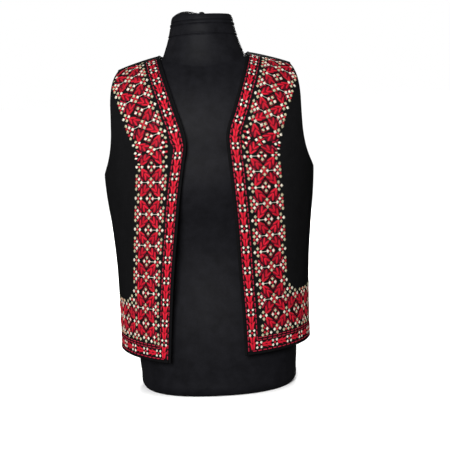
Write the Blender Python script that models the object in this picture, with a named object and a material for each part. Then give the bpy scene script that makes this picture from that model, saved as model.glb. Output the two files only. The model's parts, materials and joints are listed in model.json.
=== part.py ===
"""Open-fronted folk vest with embroidered bands, standing on a limbless dress form.

The vest is cut as two fronts and a back in felted wool. Its wall follows one smooth
form: horizontal rings up to the chest, then a cap that closes over the shoulders.
Every panel, band and binding is made from points of that wall. Metres, +Z up, the
front of the vest faces -Y and +X is the wearer's left. The origin is the middle of
the flat underside of the dress form.
"""

import math
from collections import namedtuple

import bpy
import numpy as np

OBJECT_NAME = "embroidered_vest_on_form"

# Cloth
WALL = 0.0024  # felted wool, with its lining
GAP = 0.0003  # between two sewn pieces
BAND_RISE = 0.0010  # height of the embroidery over the cloth
BINDING_WIDTH = 0.0047
BINDING_RISE = 0.0006  # how far the binding stands over the cloth

# Section of the binding: across from the folded edge, and through the cloth, both from -1 to 1
SectionCorner = namedtuple("SectionCorner", "across through")
BINDING_SECTION = (
    SectionCorner(-1.0, -0.45),
    SectionCorner(-0.62, -1.0),
    SectionCorner(0.90, -1.0),
    SectionCorner(1.0, -0.80),
    SectionCorner(1.0, 0.80),
    SectionCorner(0.90, 1.0),
    SectionCorner(-0.62, 1.0),
    SectionCorner(-1.0, 0.45),
)

# Seams
PANEL_INSET = 0.0051  # from the bound edge to the cut edge of a panel
CORNER_GAP = 0.0006  # more room where the hem binding meets the front binding

# Vest, heights over the underside of the form
CAP_START = 0.460  # where the chest begins to close over the shoulders
CAP_POWER_FRONT = 2.15
CAP_POWER_BACK = 2.50
NECK_HALF_WIDTH = 0.084
NECK_BACK_LEVEL = 1.640  # 1 is CAP_START, 2 is the shoulder seam
NECK_CURVE_POWER = 4.0
SPLIT_AT_HEM = 0.095  # where the column of the neck point ends at the hem
HEM_BAND_TOP = 0.113  # height of the hem band over the hem

VestRing = namedtuple("VestRing", "height half_width front_depth back_depth squareness lean")
VEST_RINGS = (
    VestRing(0.070, 0.1915, 0.135, 0.124, 2.05, -0.0035),
    VestRing(0.160, 0.1900, 0.131, 0.116, 2.05, -0.0025),
    VestRing(0.250, 0.1920, 0.129, 0.110, 2.08, -0.0010),
    VestRing(0.330, 0.1980, 0.130, 0.112, 2.15, 0.0000),
    VestRing(0.400, 0.2045, 0.132, 0.118, 2.25, 0.0000),
    VestRing(0.430, 0.2060, 0.132, 0.120, 2.30, 0.0000),
    VestRing(0.460, 0.2060, 0.131, 0.121, 2.35, 0.0000),
)

# Height of the shoulder seam, by distance from the middle
RidgePoint = namedtuple("RidgePoint", "height across")
RIDGE = (
    RidgePoint(0.6640, 0.000),
    RidgePoint(0.6620, 0.050),
    RidgePoint(0.6570, 0.084),
    RidgePoint(0.6470, 0.125),
    RidgePoint(0.6340, 0.165),
    RidgePoint(0.6230, 0.190),
    RidgePoint(0.6140, 0.206),
)

# Distance from the middle to the bound front edge, the wearer's right and left
EdgePoint = namedtuple("EdgePoint", "height right left")
FRONT_EDGE = (
    EdgePoint(0.070, 0.0870, 0.0566),
    EdgePoint(0.160, 0.0805, 0.0543),
    EdgePoint(0.250, 0.0730, 0.0494),
    EdgePoint(0.330, 0.0634, 0.0460),
    EdgePoint(0.400, 0.0540, 0.0422),
    EdgePoint(0.460, 0.0432, 0.0382),
    EdgePoint(0.490, 0.0380, 0.0360),
    EdgePoint(0.505, 0.0390, 0.0360),
    EdgePoint(0.560, 0.0538, 0.0532),
    EdgePoint(0.620, 0.0725, 0.0728),
    EdgePoint(0.657, 0.0840, 0.0840),
)

# Distance from the middle to the outer edge of the front band
BandPoint = namedtuple("BandPoint", "height right left")
BAND_EDGE = (
    BandPoint(0.070, 0.1600, 0.1430),
    BandPoint(0.200, 0.1560, 0.1400),
    BandPoint(0.300, 0.1470, 0.1360),
    BandPoint(0.400, 0.1420, 0.1320),
    BandPoint(0.470, 0.1420, 0.1310),
    BandPoint(0.500, 0.1460, 0.1340),
    BandPoint(0.560, 0.1660, 0.1560),
    BandPoint(0.600, 0.1790, 0.1730),
    BandPoint(0.660, 0.2000, 0.2000),
)

# Distance from the middle to the edge of the armhole
ArmPoint = namedtuple("ArmPoint", "height across")
ARM_EDGE = (
    ArmPoint(0.4300, 0.2060),
    ArmPoint(0.4360, 0.2035),
    ArmPoint(0.4460, 0.1990),
    ArmPoint(0.4600, 0.1930),
    ArmPoint(0.4800, 0.1870),
    ArmPoint(0.5050, 0.1830),
    ArmPoint(0.5400, 0.1815),
    ArmPoint(0.5800, 0.1810),
    ArmPoint(0.6000, 0.1790),
    ArmPoint(0.6150, 0.1755),
    ArmPoint(0.6250, 0.1715),
    ArmPoint(0.6340, 0.1665),
)

# Height of the hem: at the front corner, the side seam and the middle back
HemHeights = namedtuple("HemHeights", "corner side middle_back")
HEM_RIGHT = HemHeights(0.0730, 0.0840, 0.0900)
HEM_LEFT = HemHeights(0.0860, 0.0900, 0.0900)

# Rows of the wall: heights over the hem, then turns of the cap in quarter circles
ROW_LIFTS = (
    PANEL_INSET,
    0.034,
    0.060,
    0.087,
    HEM_BAND_TOP,
    0.127,
    0.160,
    0.195,
    0.230,
    0.265,
    0.300,
    0.325,
)
UNDERARM_ROWS = (0.4300, 0.4360, 0.4460)
CAP_TURNS = (0.0, 0.09, 0.18, 0.28, 0.38, 0.48, 0.58, 0.68, 0.78, 0.89, 1.0)
BAND_COLUMNS = 6
SIDE_COLUMNS = 6
BACK_NECK_COLUMNS = 5
BACK_SIDE_COLUMNS = 6
ROW_SAMPLES = 400

# Dress form
FORM_CAP_START = 0.470
FORM_CAP_POWER = 2.15
FORM_SQUARENESS = 2.25
FORM_RIDGE_DROP = 0.0033  # from the outside of the shoulder seam to the form
FORM_ANGLES = 36
FORM_CAP_RINGS = 13
FORM_CAP_SAMPLES = 160
NECK_BASE_HALF_WIDTH = 0.0810
NECK_BASE_HALF_DEPTH = 0.0640
NECK_BASE_BACK = 0.002  # how far the middle of the neck lies behind the seam

FormRing = namedtuple("FormRing", "height half_width front_depth back_depth")
FORM_RINGS = (
    FormRing(0.000, 0.150, 0.102, 0.096),
    FormRing(0.004, 0.1535, 0.1055, 0.0995),
    FormRing(0.030, 0.157, 0.108, 0.103),
    FormRing(0.080, 0.160, 0.110, 0.106),
    FormRing(0.130, 0.157, 0.107, 0.104),
    FormRing(0.190, 0.145, 0.099, 0.094),
    FormRing(0.240, 0.134, 0.093, 0.085),
    FormRing(0.285, 0.130, 0.092, 0.081),
    FormRing(0.330, 0.135, 0.099, 0.084),
    FormRing(0.375, 0.148, 0.112, 0.091),
    FormRing(0.410, 0.159, 0.119, 0.097),
    FormRing(0.440, 0.167, 0.119, 0.101),
    FormRing(0.470, 0.171, 0.116, 0.103),
)

NeckRing = namedtuple("NeckRing", "height half_width half_depth middle_y")
NECK_RINGS = (
    NeckRing(0.6580, 0.0786, 0.0625, 0.002),
    NeckRing(0.6640, 0.0762, 0.0612, 0.002),
    NeckRing(0.6715, 0.0735, 0.0600, 0.002),
    NeckRing(0.6810, 0.0704, 0.0588, 0.002),
    NeckRing(0.6930, 0.0675, 0.0575, 0.001),
    NeckRing(0.7060, 0.0650, 0.0562, 0.001),
    NeckRing(0.7190, 0.0628, 0.0545, 0.000),
    NeckRing(0.7260, 0.0605, 0.0525, 0.000),
    NeckRing(0.7310, 0.0550, 0.0480, 0.000),
    NeckRing(0.7345, 0.0440, 0.0380, 0.000),
    NeckRing(0.7350, 0.0300, 0.0265, 0.000),
    NeckRing(0.7330, 0.0160, 0.0145, 0.000),
    NeckRing(0.7330, 0.0070, 0.0065, 0.000),
    NeckRing(0.7370, 0.0055, 0.0050, 0.000),
    NeckRing(0.7385, 0.0030, 0.0028, 0.000),
)
KNOT_TOP = 0.7390

RIGHT = -1
LEFT = 1
FRONT = -1
BACK = 1
SMALL = 1e-5  # step for directions on the wall
TINY = 1e-9
PLACE_STEPS = 30  # rounds that settle where a row meets a line
WALK_STEPS = 4  # rounds that settle a walk over the wall
CHEST_MIDDLE = (0.0, 0.0, 0.360)  # the wall faces away from here

Paint = namedtuple("Paint", "color roughness")
FELT = Paint((0.013, 0.013, 0.014), 0.92)
THREAD = Paint((0.50, 0.022, 0.040), 0.62)
TAPE = Paint((0.010, 0.010, 0.011), 0.85)
JERSEY = Paint((0.020, 0.020, 0.023), 0.80)


def smooth_curve(places, values, slopes, at):
    """A smooth curve through values at their places, with these slopes, read at a place."""
    at = np.clip(np.asarray(at, float), places[0], places[-1])
    low = np.clip(np.searchsorted(places, at) - 1, 0, len(places) - 2)
    span = places[low + 1] - places[low]
    part = (at - places[low]) / span
    curve = values[low] * (1 + 2 * part) * (1 - part) ** 2
    curve = curve + values[low + 1] * part**2 * (3 - 2 * part)
    curve = curve + slopes[low] * span * part * (1 - part) ** 2
    return curve + slopes[low + 1] * span * part**2 * (part - 1)


def along(table, column, at):
    """One column of a table, read at a height."""
    heights = np.array([row.height for row in table])
    values = np.array([getattr(row, column) for row in table])
    return smooth_curve(heights, values, np.gradient(values, heights), at)


def ridge_height(across):
    """Height of the outside of the shoulder seam at a distance from the middle."""
    distances = np.array([point.across for point in RIDGE])
    heights = np.array([point.height for point in RIDGE])
    slopes = np.gradient(heights, distances)
    slopes[0] = 0.0
    return smooth_curve(distances, heights, slopes, np.abs(across))


def hem_height(side, facing, angle):
    """Height of the hem. The angle is 0 at the side seam and a quarter circle in the middle."""
    hem = HEM_RIGHT if side == RIGHT else HEM_LEFT
    end = hem.corner if facing == FRONT else hem.middle_back
    part = np.sin(np.asarray(angle, float)) ** 2
    return hem.side + (end - hem.side) * part


def wall_point(side, facing, angle, level):
    """A point of the outside of the vest. Level 0 is the hem, 1 the chest and 2 the seam."""
    angle = np.asarray(angle, float)
    level = np.asarray(level, float)
    hem = hem_height(side, facing, angle)
    height = hem + (CAP_START - hem) * np.minimum(level, 1.0)
    depth_column = "front_depth" if facing == FRONT else "back_depth"
    power = 2.0 / along(VEST_RINGS, "squareness", height)
    across = along(VEST_RINGS, "half_width", height) * np.abs(np.cos(angle)) ** power
    depth = along(VEST_RINGS, depth_column, height) * np.abs(np.sin(angle)) ** power
    turn = np.clip(level - 1.0, 0.0, 1.0) * math.pi / 2
    cap = 2.0 / (CAP_POWER_FRONT if facing == FRONT else CAP_POWER_BACK)
    depth = depth * np.abs(np.cos(turn)) ** cap
    height = height + (ridge_height(across) - CAP_START) * np.abs(np.sin(turn)) ** cap
    lean = along(VEST_RINGS, "lean", height)
    return np.stack([side * across + lean, facing * (GAP / 2 + depth), height], axis=-1)


def tangents(side, facing, angle, level):
    """How a wall point moves with its angle and with its level."""
    angle_low = np.clip(angle - SMALL, 0.0, math.pi / 2)
    angle_high = np.clip(angle + SMALL, 0.0, math.pi / 2)
    level_low = np.clip(level - SMALL, 0.0, 2.0)
    level_high = np.clip(level + SMALL, 0.0, 2.0)
    by_angle = wall_point(side, facing, angle_high, level)
    by_angle = by_angle - wall_point(side, facing, angle_low, level)
    by_angle = by_angle / (angle_high - angle_low)[..., None]
    by_level = wall_point(side, facing, angle, level_high)
    by_level = by_level - wall_point(side, facing, angle, level_low)
    by_level = by_level / (level_high - level_low)[..., None]
    return by_angle, by_level


def wall_normal(side, facing, angle, level):
    """The outward direction of the wall."""
    inner_angle = np.clip(angle, SMALL, math.pi / 2 - SMALL)
    inner_level = np.clip(level, 0.0, 2.0 - SMALL)
    by_angle, by_level = tangents(side, facing, inner_angle, inner_level)
    normal = unit(np.cross(by_angle, by_level))
    outward = wall_point(side, facing, inner_angle, inner_level) - np.array(CHEST_MIDDLE)
    return normal * np.sign((normal * outward).sum(axis=-1, keepdims=True))


def angle_of(across, height):
    """The angle at which the wall is this far from the middle."""
    half_width = along(VEST_RINGS, "half_width", height)
    power = along(VEST_RINGS, "squareness", height) / 2.0
    return np.arccos(np.clip(np.asarray(across) / half_width, 0.0, 1.0) ** power)


def place_on_row(side, facing, level, distance_at):
    """The angle where a row meets a line, which is given as its distance by height."""
    angle = np.full(np.shape(level), math.pi / 4)
    for _ in range(PLACE_STEPS):
        height = wall_point(side, facing, angle, level)[..., 2]
        angle = angle_of(distance_at(height), height)
    return angle


def front_edge(side):
    return lambda height: along(FRONT_EDGE, "right" if side == RIGHT else "left", height)


def band_edge(side):
    return lambda height: along(BAND_EDGE, "right" if side == RIGHT else "left", height)


def arm_edge(height):
    return along(ARM_EDGE, "across", height)


def row_levels():
    """The level of each row of a panel, and which of them lies at the underarm."""
    span = CAP_START - HEM_LEFT.side
    levels = [lift / span for lift in ROW_LIFTS]
    underarm = len(levels)
    levels = levels + [(height - HEM_LEFT.side) / span for height in UNDERARM_ROWS]
    levels = levels + [1.0 + turn for turn in CAP_TURNS]
    return np.array(levels), underarm


def spaced_angles(side, facing, level_of, starts, ends, count):
    """Angles that cut one stretch of a row into equal lengths."""
    angles = np.linspace(starts, ends, ROW_SAMPLES)
    points = wall_point(side, facing, angles, level_of(angles))
    steps = np.linalg.norm(np.diff(points, axis=0), axis=1)
    length = np.concatenate([[0.0], np.cumsum(steps)])
    wanted = np.linspace(0.0, length[-1], count + 1)
    return np.interp(wanted, length, angles)


def row_distance(side, facing, level, starts, distance):
    """The angle that lies a distance along a row from its start, towards the side seam."""
    angles = np.linspace(starts, 0.0, ROW_SAMPLES)
    points = wall_point(side, facing, angles, np.full(ROW_SAMPLES, level))
    steps = np.linalg.norm(np.diff(points, axis=0), axis=1)
    length = np.concatenate([[0.0], np.cumsum(steps)])
    return np.interp(distance, length, angles)


def unit(vectors):
    return vectors / np.linalg.norm(vectors, axis=-1, keepdims=True)


def edge_frames(points, normals):
    """Directions along an edge and into the cloth, at each point of the edge."""
    run = unit(np.gradient(points, axis=0))
    return run, unit(np.cross(normals, run))


def front_edge_line(side):
    """The bound front edge, from the hem to the shoulder seam, one point for each row."""
    levels, _ = row_levels()
    levels = np.concatenate([[0.0], levels])
    angles = place_on_row(side, FRONT, levels, front_edge(side))
    points = wall_point(side, FRONT, angles, levels)
    normals = wall_normal(side, FRONT, angles, levels)
    return levels, angles, points, normals


def front_rows(side):
    """Angles and levels of the points of one front, rows by columns from its front edge."""
    levels, underarm = row_levels()
    _, edge_angles, points, normals = front_edge_line(side)
    run, _ = edge_frames(points, normals)
    angles = []
    for row, level in enumerate(levels):
        start = edge_angles[row + 1]
        ahead = wall_point(side, FRONT, start - SMALL, level)
        ahead = ahead - wall_point(side, FRONT, start, level)
        slant = np.linalg.norm(np.cross(unit(ahead), run[row + 1]))
        start = row_distance(side, FRONT, level, start, PANEL_INSET / slant)
        end = 0.0
        if row > underarm:
            end = float(place_on_row(side, FRONT, level, arm_edge))
        band = max(float(place_on_row(side, FRONT, level, band_edge(side))), end)

        def level_of(found, level=level):
            return np.full(found.shape, level)

        inner = spaced_angles(side, FRONT, level_of, start, band, BAND_COLUMNS)
        outer = spaced_angles(side, FRONT, level_of, band, end, SIDE_COLUMNS)
        angles.append(np.concatenate([inner, outer[1:]]))
    angles = np.array(angles)
    return angles, np.repeat(levels[:, None], angles.shape[1], axis=1)


def neck_line(side):
    """The bound neck edge of the back, from the middle to the neck point."""
    across = NECK_HALF_WIDTH * np.sin(np.linspace(0.0, math.pi / 2, ROW_SAMPLES))
    curve = (across / NECK_HALF_WIDTH) ** NECK_CURVE_POWER
    level = NECK_BACK_LEVEL + (2.0 - NECK_BACK_LEVEL) * curve
    height = np.full(ROW_SAMPLES, CAP_START)
    angle = angle_of(across, height)
    points = wall_point(side, BACK, angle, level)
    steps = np.linalg.norm(np.diff(points, axis=0), axis=1)
    length = np.concatenate([[0.0], np.cumsum(steps)])
    wanted = np.linspace(0.0, length[-1], BACK_NECK_COLUMNS + 1)
    return np.interp(wanted, length, angle), np.interp(wanted, length, level)


def walk(side, facing, angle, level, move):
    """Moves points over the wall by a vector each, and gives their new angles and levels."""
    goal = wall_point(side, facing, angle, level) + move
    for _ in range(WALK_STEPS):
        by_angle, by_level = tangents(side, facing, angle, level)
        short = goal - wall_point(side, facing, angle, level)
        angle_size = (by_angle * by_angle).sum(-1)
        shared = (by_angle * by_level).sum(-1)
        level_size = (by_level * by_level).sum(-1)
        short_angle = (short * by_angle).sum(-1)
        short_level = (short * by_level).sum(-1)
        spread = angle_size * level_size - shared * shared
        turn = (short_angle * level_size - short_level * shared) / spread
        rise = (short_level * angle_size - short_angle * shared) / spread
        angle = np.clip(angle + turn, 0.0, math.pi / 2)
        level = np.clip(level + rise, 0.0, 2.0)
    return angle, level


def neck_frames(side):
    """The neck edge of one half of the back: points, normals and directions into the cloth."""
    angle, level = neck_line(side)
    points = wall_point(side, BACK, angle, level)
    normals = wall_normal(side, BACK, angle, level)
    mirrored = points[1:2] * np.array([-1.0, 1.0, 1.0])
    run = np.gradient(np.concatenate([mirrored, points]), axis=0)[1:]
    run[-1] = [0.0, -1.0, 0.0]
    into = unit(np.cross(unit(run), normals))
    outward = (into * points * np.array([1.0, 1.0, 0.0])).sum(axis=-1, keepdims=True)
    return angle, level, points, normals, into * np.sign(outward)


def back_rows(side):
    """Angles and levels of the points of one half of the back, from the middle outwards."""
    levels, underarm = row_levels()
    neck_angle, neck_level, points, _, into = neck_frames(side)
    top_angle, top_level = walk(side, BACK, neck_angle, neck_level, into * PANEL_INSET)
    top_level[-1] = 2.0
    corner = abs(wall_point(side, BACK, top_angle[-1], 2.0)[0])
    top_angle[0] = math.pi / 2
    top_across = np.abs(wall_point(side, BACK, top_angle, top_level)[:, 0])
    rows = []
    row_level = []
    for row, level in enumerate(levels):
        end = 0.0
        if row > underarm:
            end = float(place_on_row(side, BACK, level, arm_edge))
        turned = max(level - 1.0, 0.0)
        split_across = SPLIT_AT_HEM + (corner - SPLIT_AT_HEM) * min(level / 2.0, 1.0)

        def level_of(found, turned=turned, level=level):
            across = np.abs(wall_point(side, BACK, found, np.ones(found.shape))[:, 0])
            top = np.interp(across, top_across, top_level)
            return np.where(turned > 0.0, 1.0 + (top - 1.0) * turned, level)

        split_height = HEM_LEFT.side + (CAP_START - HEM_LEFT.side) * min(level, 1.0)
        split = float(angle_of(split_across, split_height))
        inner = spaced_angles(side, BACK, level_of, math.pi / 2, split, BACK_NECK_COLUMNS)
        outer = spaced_angles(side, BACK, level_of, split, end, BACK_SIDE_COLUMNS)
        if row == len(levels) - 1:
            inner = top_angle
            outer = spaced_angles(side, BACK, level_of, top_angle[-1], end, BACK_SIDE_COLUMNS)
        angles = np.concatenate([inner, outer[1:]])
        found = level_of(angles)
        if row == len(levels) - 1:
            found[: BACK_NECK_COLUMNS + 1] = top_level
        rows.append(angles)
        row_level.append(found)
    return np.array(rows), np.array(row_level)


def triangles_of(face, points):
    """A face cut along its shorter diagonal, so that pieces made from one row agree."""
    if len(face) < 3:
        return []
    if len(face) == 3:
        return [face]
    first = np.linalg.norm(points[face[0]] - points[face[2]])
    second = np.linalg.norm(points[face[1]] - points[face[3]])
    if first <= second:
        return [[face[0], face[1], face[2]], [face[0], face[2], face[3]]]
    return [[face[0], face[1], face[3]], [face[1], face[2], face[3]]]


def patch_of(points, normals, cells):
    """Points, normals and faces of some cells of a grid, with points that coincide made one."""
    seen = {}
    kept_points = []
    kept_normals = []
    faces = []
    for cell in cells:
        face = []
        for row, column in cell:
            key = tuple(np.round(points[row, column], 6))
            if key not in seen:
                seen[key] = len(kept_points)
                kept_points.append(points[row, column])
                kept_normals.append(normals[row, column])
            if seen[key] not in face:
                face.append(seen[key])
        faces.extend(triangles_of(face, kept_points))
    return np.array(kept_points), np.array(kept_normals), faces


def grid_cells(rows, columns):
    """The four corners of every cell of a grid."""
    cells = []
    for row in range(rows - 1):
        for column in range(columns - 1):
            low = ((row, column), (row, column + 1))
            high = ((row + 1, column + 1), (row + 1, column))
            cells.append(low + high)
    return cells


def add_object(name, points, faces, paint):
    """A closed mesh as an object of its own, with its faces turned outwards."""
    mesh = bpy.data.meshes.new(name)
    mesh.from_pydata([tuple(point) for point in points], [], faces)
    mesh.validate()
    mesh.shade_smooth()
    node = bpy.data.objects.new(name, mesh)
    material = bpy.data.materials.new(name)
    material.use_nodes = True
    shader = material.node_tree.nodes["Principled BSDF"]
    shader.inputs["Base Color"].default_value = (*paint.color, 1.0)
    shader.inputs["Roughness"].default_value = paint.roughness
    mesh.materials.append(material)
    PARTS.objects.link(node)
    return node


def signed_volume(points, faces):
    total = 0.0
    for face in faces:
        for step in range(1, len(face) - 1):
            corners = points[[face[0], face[step], face[step + 1]]]
            total += np.dot(corners[0], np.cross(corners[1], corners[2]))
    return total / 6.0


def slab(name, patch, low, high, paint):
    """A sheet between two heights over the wall, closed all round."""
    points, normals, faces = patch
    count = len(points)
    solid = np.concatenate([points + normals * low, points + normals * high])
    edges = {}
    for face in faces:
        for step, corner in enumerate(face):
            edges[(corner, face[(step + 1) % len(face)])] = True
    closed = [[corner + count for corner in face] for face in faces]
    closed = closed + [list(reversed(face)) for face in faces]
    for start, end in edges:
        if (end, start) not in edges:
            closed.append([start, end, end + count, start + count])
    if signed_volume(solid, closed) < 0.0:
        closed = [list(reversed(face)) for face in closed]
    return add_object(name, solid, closed, paint)


def binding(name, points, normals, into):
    """A tape folded round an edge, as a rounded strip that follows the edge points."""
    middle = points + into * (BINDING_WIDTH / 2) + normals * ((BINDING_RISE - WALL) / 2)
    half_width = BINDING_WIDTH / 2
    half_thick = (WALL + BINDING_RISE) / 2
    sections = []
    for corner in BINDING_SECTION:
        offset = into * (half_width * corner.across) + normals * (half_thick * corner.through)
        sections.append(middle + offset)
    solid = np.stack(sections, axis=1).reshape(-1, 3)
    around = len(BINDING_SECTION)
    count = len(points)
    faces = []
    for ring in range(count - 1):
        for corner in range(around):
            following = (corner + 1) % around
            low = ring * around
            high = low + around
            faces.append([low + corner, low + following, high + following, high + corner])
    faces.append(list(range(around))[::-1])
    faces.append([(count - 1) * around + corner for corner in range(around)])
    if signed_volume(solid, faces) < 0.0:
        faces = [list(reversed(face)) for face in faces]
    return add_object(name, solid, faces, TAPE)


def build_front(side, word):
    """One front of the vest with its embroidered band and its binding."""
    angles, levels = front_rows(side)
    points = wall_point(side, FRONT, angles, levels)
    normals = wall_normal(side, FRONT, angles, levels)
    rows, columns = angles.shape
    cells = grid_cells(rows, columns)
    slab(f"front_{word}", patch_of(points, normals, cells), -WALL, 0.0, FELT)
    band_row = ROW_LIFTS.index(HEM_BAND_TOP)
    band_cells = [cell for cell in cells if cell[0][0] < band_row or cell[0][1] < BAND_COLUMNS]
    low_corner = (band_row, BAND_COLUMNS)
    band_cells.append((low_corner, (band_row, BAND_COLUMNS + 1), (band_row + 1, BAND_COLUMNS)))
    slab(f"band_{word}", patch_of(points, normals, band_cells), GAP, GAP + BAND_RISE, THREAD)
    _, _, edge_points, edge_normals = front_edge_line(side)
    _, into = edge_frames(edge_points, edge_normals)
    into = into * np.sign((into[0] * np.array([side, 0.0, 0.0])).sum())
    binding(f"binding_{word}", edge_points, edge_normals, into)
    hem_start = place_on_row(side, FRONT, np.zeros(1), front_edge(side))[0]
    hem_start = row_distance(side, FRONT, 0.0, hem_start, PANEL_INSET + CORNER_GAP)
    return np.concatenate([[hem_start], angles[0][1:]])


def build_back():
    """The back with its hem band and the binding of its neck."""
    right_angles, right_levels = back_rows(RIGHT)
    left_angles, left_levels = back_rows(LEFT)
    right_points = wall_point(RIGHT, BACK, right_angles, right_levels)
    left_points = wall_point(LEFT, BACK, left_angles, left_levels)
    right_normals = wall_normal(RIGHT, BACK, right_angles, right_levels)
    left_normals = wall_normal(LEFT, BACK, left_angles, left_levels)
    points = np.concatenate([right_points[:, ::-1], left_points[:, 1:]], axis=1)
    normals = np.concatenate([right_normals[:, ::-1], left_normals[:, 1:]], axis=1)
    middle = right_points.shape[1] - 1
    normals[:, middle, 0] = 0.0
    normals = unit(normals)
    cells = grid_cells(*points.shape[:2])
    slab("back", patch_of(points, normals, cells), -WALL, 0.0, FELT)
    band_row = ROW_LIFTS.index(HEM_BAND_TOP)
    band_cells = [cell for cell in cells if cell[0][0] < band_row]
    slab("band_back", patch_of(points, normals, band_cells), GAP, GAP + BAND_RISE, THREAD)
    _, _, right_edge, right_out, right_into = neck_frames(RIGHT)
    _, _, left_edge, left_out, left_into = neck_frames(LEFT)
    edge = np.concatenate([right_edge[::-1], left_edge[1:]])
    out = np.concatenate([right_out[::-1], left_out[1:]])
    into = np.concatenate([right_into[::-1], left_into[1:]])
    binding("binding_neck", edge, out, into)
    return right_angles[0], left_angles[0]


def build_hem_binding(right_front, left_front, right_back, left_back):
    """The tape round the hem, from one front corner to the other."""
    stretches = (
        (RIGHT, FRONT, right_front),
        (RIGHT, BACK, right_back[::-1][1:]),
        (LEFT, BACK, left_back[1:-1]),
        (LEFT, FRONT, left_front[::-1]),
    )
    points = []
    normals = []
    for side, facing, angles in stretches:
        level = np.zeros(angles.shape)
        points.append(wall_point(side, facing, angles, level))
        normals.append(wall_normal(side, facing, angles, level))
    points = np.concatenate(points)
    normals = unit(np.concatenate(normals))
    _, into = edge_frames(points, normals)
    into = into * np.sign(into[:, 2:3])
    binding("binding_hem", points, normals, into)


def form_cap_height(across, deep, facing_depth):
    """Height of the shoulders of the dress form at a place seen from above."""
    half_width = FORM_RINGS[-1].half_width
    shrink = 1.0 - np.clip(np.abs(across) / half_width, 0.0, 1.0) ** FORM_SQUARENESS
    limit = facing_depth * np.maximum(shrink, 0.0) ** (1.0 / FORM_SQUARENESS)
    part = np.abs(deep) / np.maximum(limit, TINY)
    part = np.where(np.abs(deep) < TINY, 0.0, np.clip(part, 0.0, 1.0))
    ridge = ridge_height(across) - FORM_RIDGE_DROP
    closing = (1.0 - part**FORM_CAP_POWER) ** (1.0 / FORM_CAP_POWER)
    return FORM_CAP_START + (ridge - FORM_CAP_START) * closing


def form_outline(angle, half_width, depth):
    power = 2.0 / FORM_SQUARENESS
    cosine = math.cos(angle)
    sine = math.sin(angle)
    across = half_width * math.copysign(abs(cosine) ** power, cosine)
    return across, depth * math.copysign(abs(sine) ** power, sine)


def form_line(angle):
    """One line of the form from its underside up to the top of its neck."""
    backward = math.sin(angle) > 0.0
    line = []
    for ring in FORM_RINGS:
        depth = ring.back_depth if backward else ring.front_depth
        across, deep = form_outline(angle, ring.half_width, depth)
        line.append((across, deep, ring.height))
    last = FORM_RINGS[-1]
    depth = last.back_depth if backward else last.front_depth
    start = np.array(form_outline(angle, last.half_width, depth))
    goal_x = NECK_BASE_HALF_WIDTH * math.cos(angle)
    goal_y = NECK_BASE_BACK + NECK_BASE_HALF_DEPTH * math.sin(angle)
    goal = np.array([goal_x, goal_y])
    part = 1.0 - np.cos(np.linspace(0.0, math.pi / 2, FORM_CAP_SAMPLES))
    plan = start + (goal - start) * part[:, None]
    height = form_cap_height(plan[:, 0], plan[:, 1], depth)
    cap = np.concatenate([plan, height[:, None]], axis=1)
    cap = np.concatenate([[line[-1]], cap[1:]])
    steps = np.linalg.norm(np.diff(cap, axis=0), axis=1)
    length = np.concatenate([[0.0], np.cumsum(steps)])
    wanted = np.linspace(0.0, length[-1], FORM_CAP_RINGS + 1)[1:]
    for distance in wanted:
        line.append(tuple(np.interp(distance, length, cap[:, axis]) for axis in range(3)))
    for ring in NECK_RINGS:
        across = ring.half_width * math.cos(angle)
        deep = ring.middle_y + ring.half_depth * math.sin(angle)
        line.append((across, deep, ring.height))
    return line


def build_form():
    """The limbless dress form: hips, waist, chest, shoulders, neck and the knot of its cover."""
    lines = [form_line(2.0 * math.pi * turn / FORM_ANGLES) for turn in range(FORM_ANGLES)]
    rings = len(lines[0])
    points = np.array(lines).transpose(1, 0, 2).reshape(-1, 3)
    points = np.concatenate([points, [[0.0, 0.0, 0.0], [0.0, 0.0, KNOT_TOP]]])
    bottom = len(points) - 2
    top = len(points) - 1
    faces = []
    for ring in range(rings - 1):
        for turn in range(FORM_ANGLES):
            following = (turn + 1) % FORM_ANGLES
            low = ring * FORM_ANGLES
            high = low + FORM_ANGLES
            faces.append([low + turn, low + following, high + following, high + turn])
    last = (rings - 1) * FORM_ANGLES
    for turn in range(FORM_ANGLES):
        following = (turn + 1) % FORM_ANGLES
        faces.append([bottom, following, turn])
        faces.append([last + turn, last + following, top])
    if signed_volume(points, faces) < 0.0:
        faces = [list(reversed(face)) for face in faces]
    add_object("dress_form", points, faces, JERSEY)


for old in list(bpy.data.objects):
    bpy.data.objects.remove(old)
PARTS = bpy.data.collections.new(OBJECT_NAME)
bpy.context.scene.collection.children.link(PARTS)

right_hem = build_front(RIGHT, "right")
left_hem = build_front(LEFT, "left")
back_right_hem, back_left_hem = build_back()
build_hem_binding(right_hem, left_hem, back_right_hem, back_left_hem)
build_form()
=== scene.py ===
"""Embroidered folk vest on a limbless dress form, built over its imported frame.

Run as a script it makes the dress form, the felted wool panels, the cotton bindings, the
counted embroidery and the studio stage. Metres, +Z up, the vest faces -Y and +X is the
wearer's left.
"""

import json
import math

import bpy
import numpy as np
from mathutils import Matrix, Vector

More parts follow.
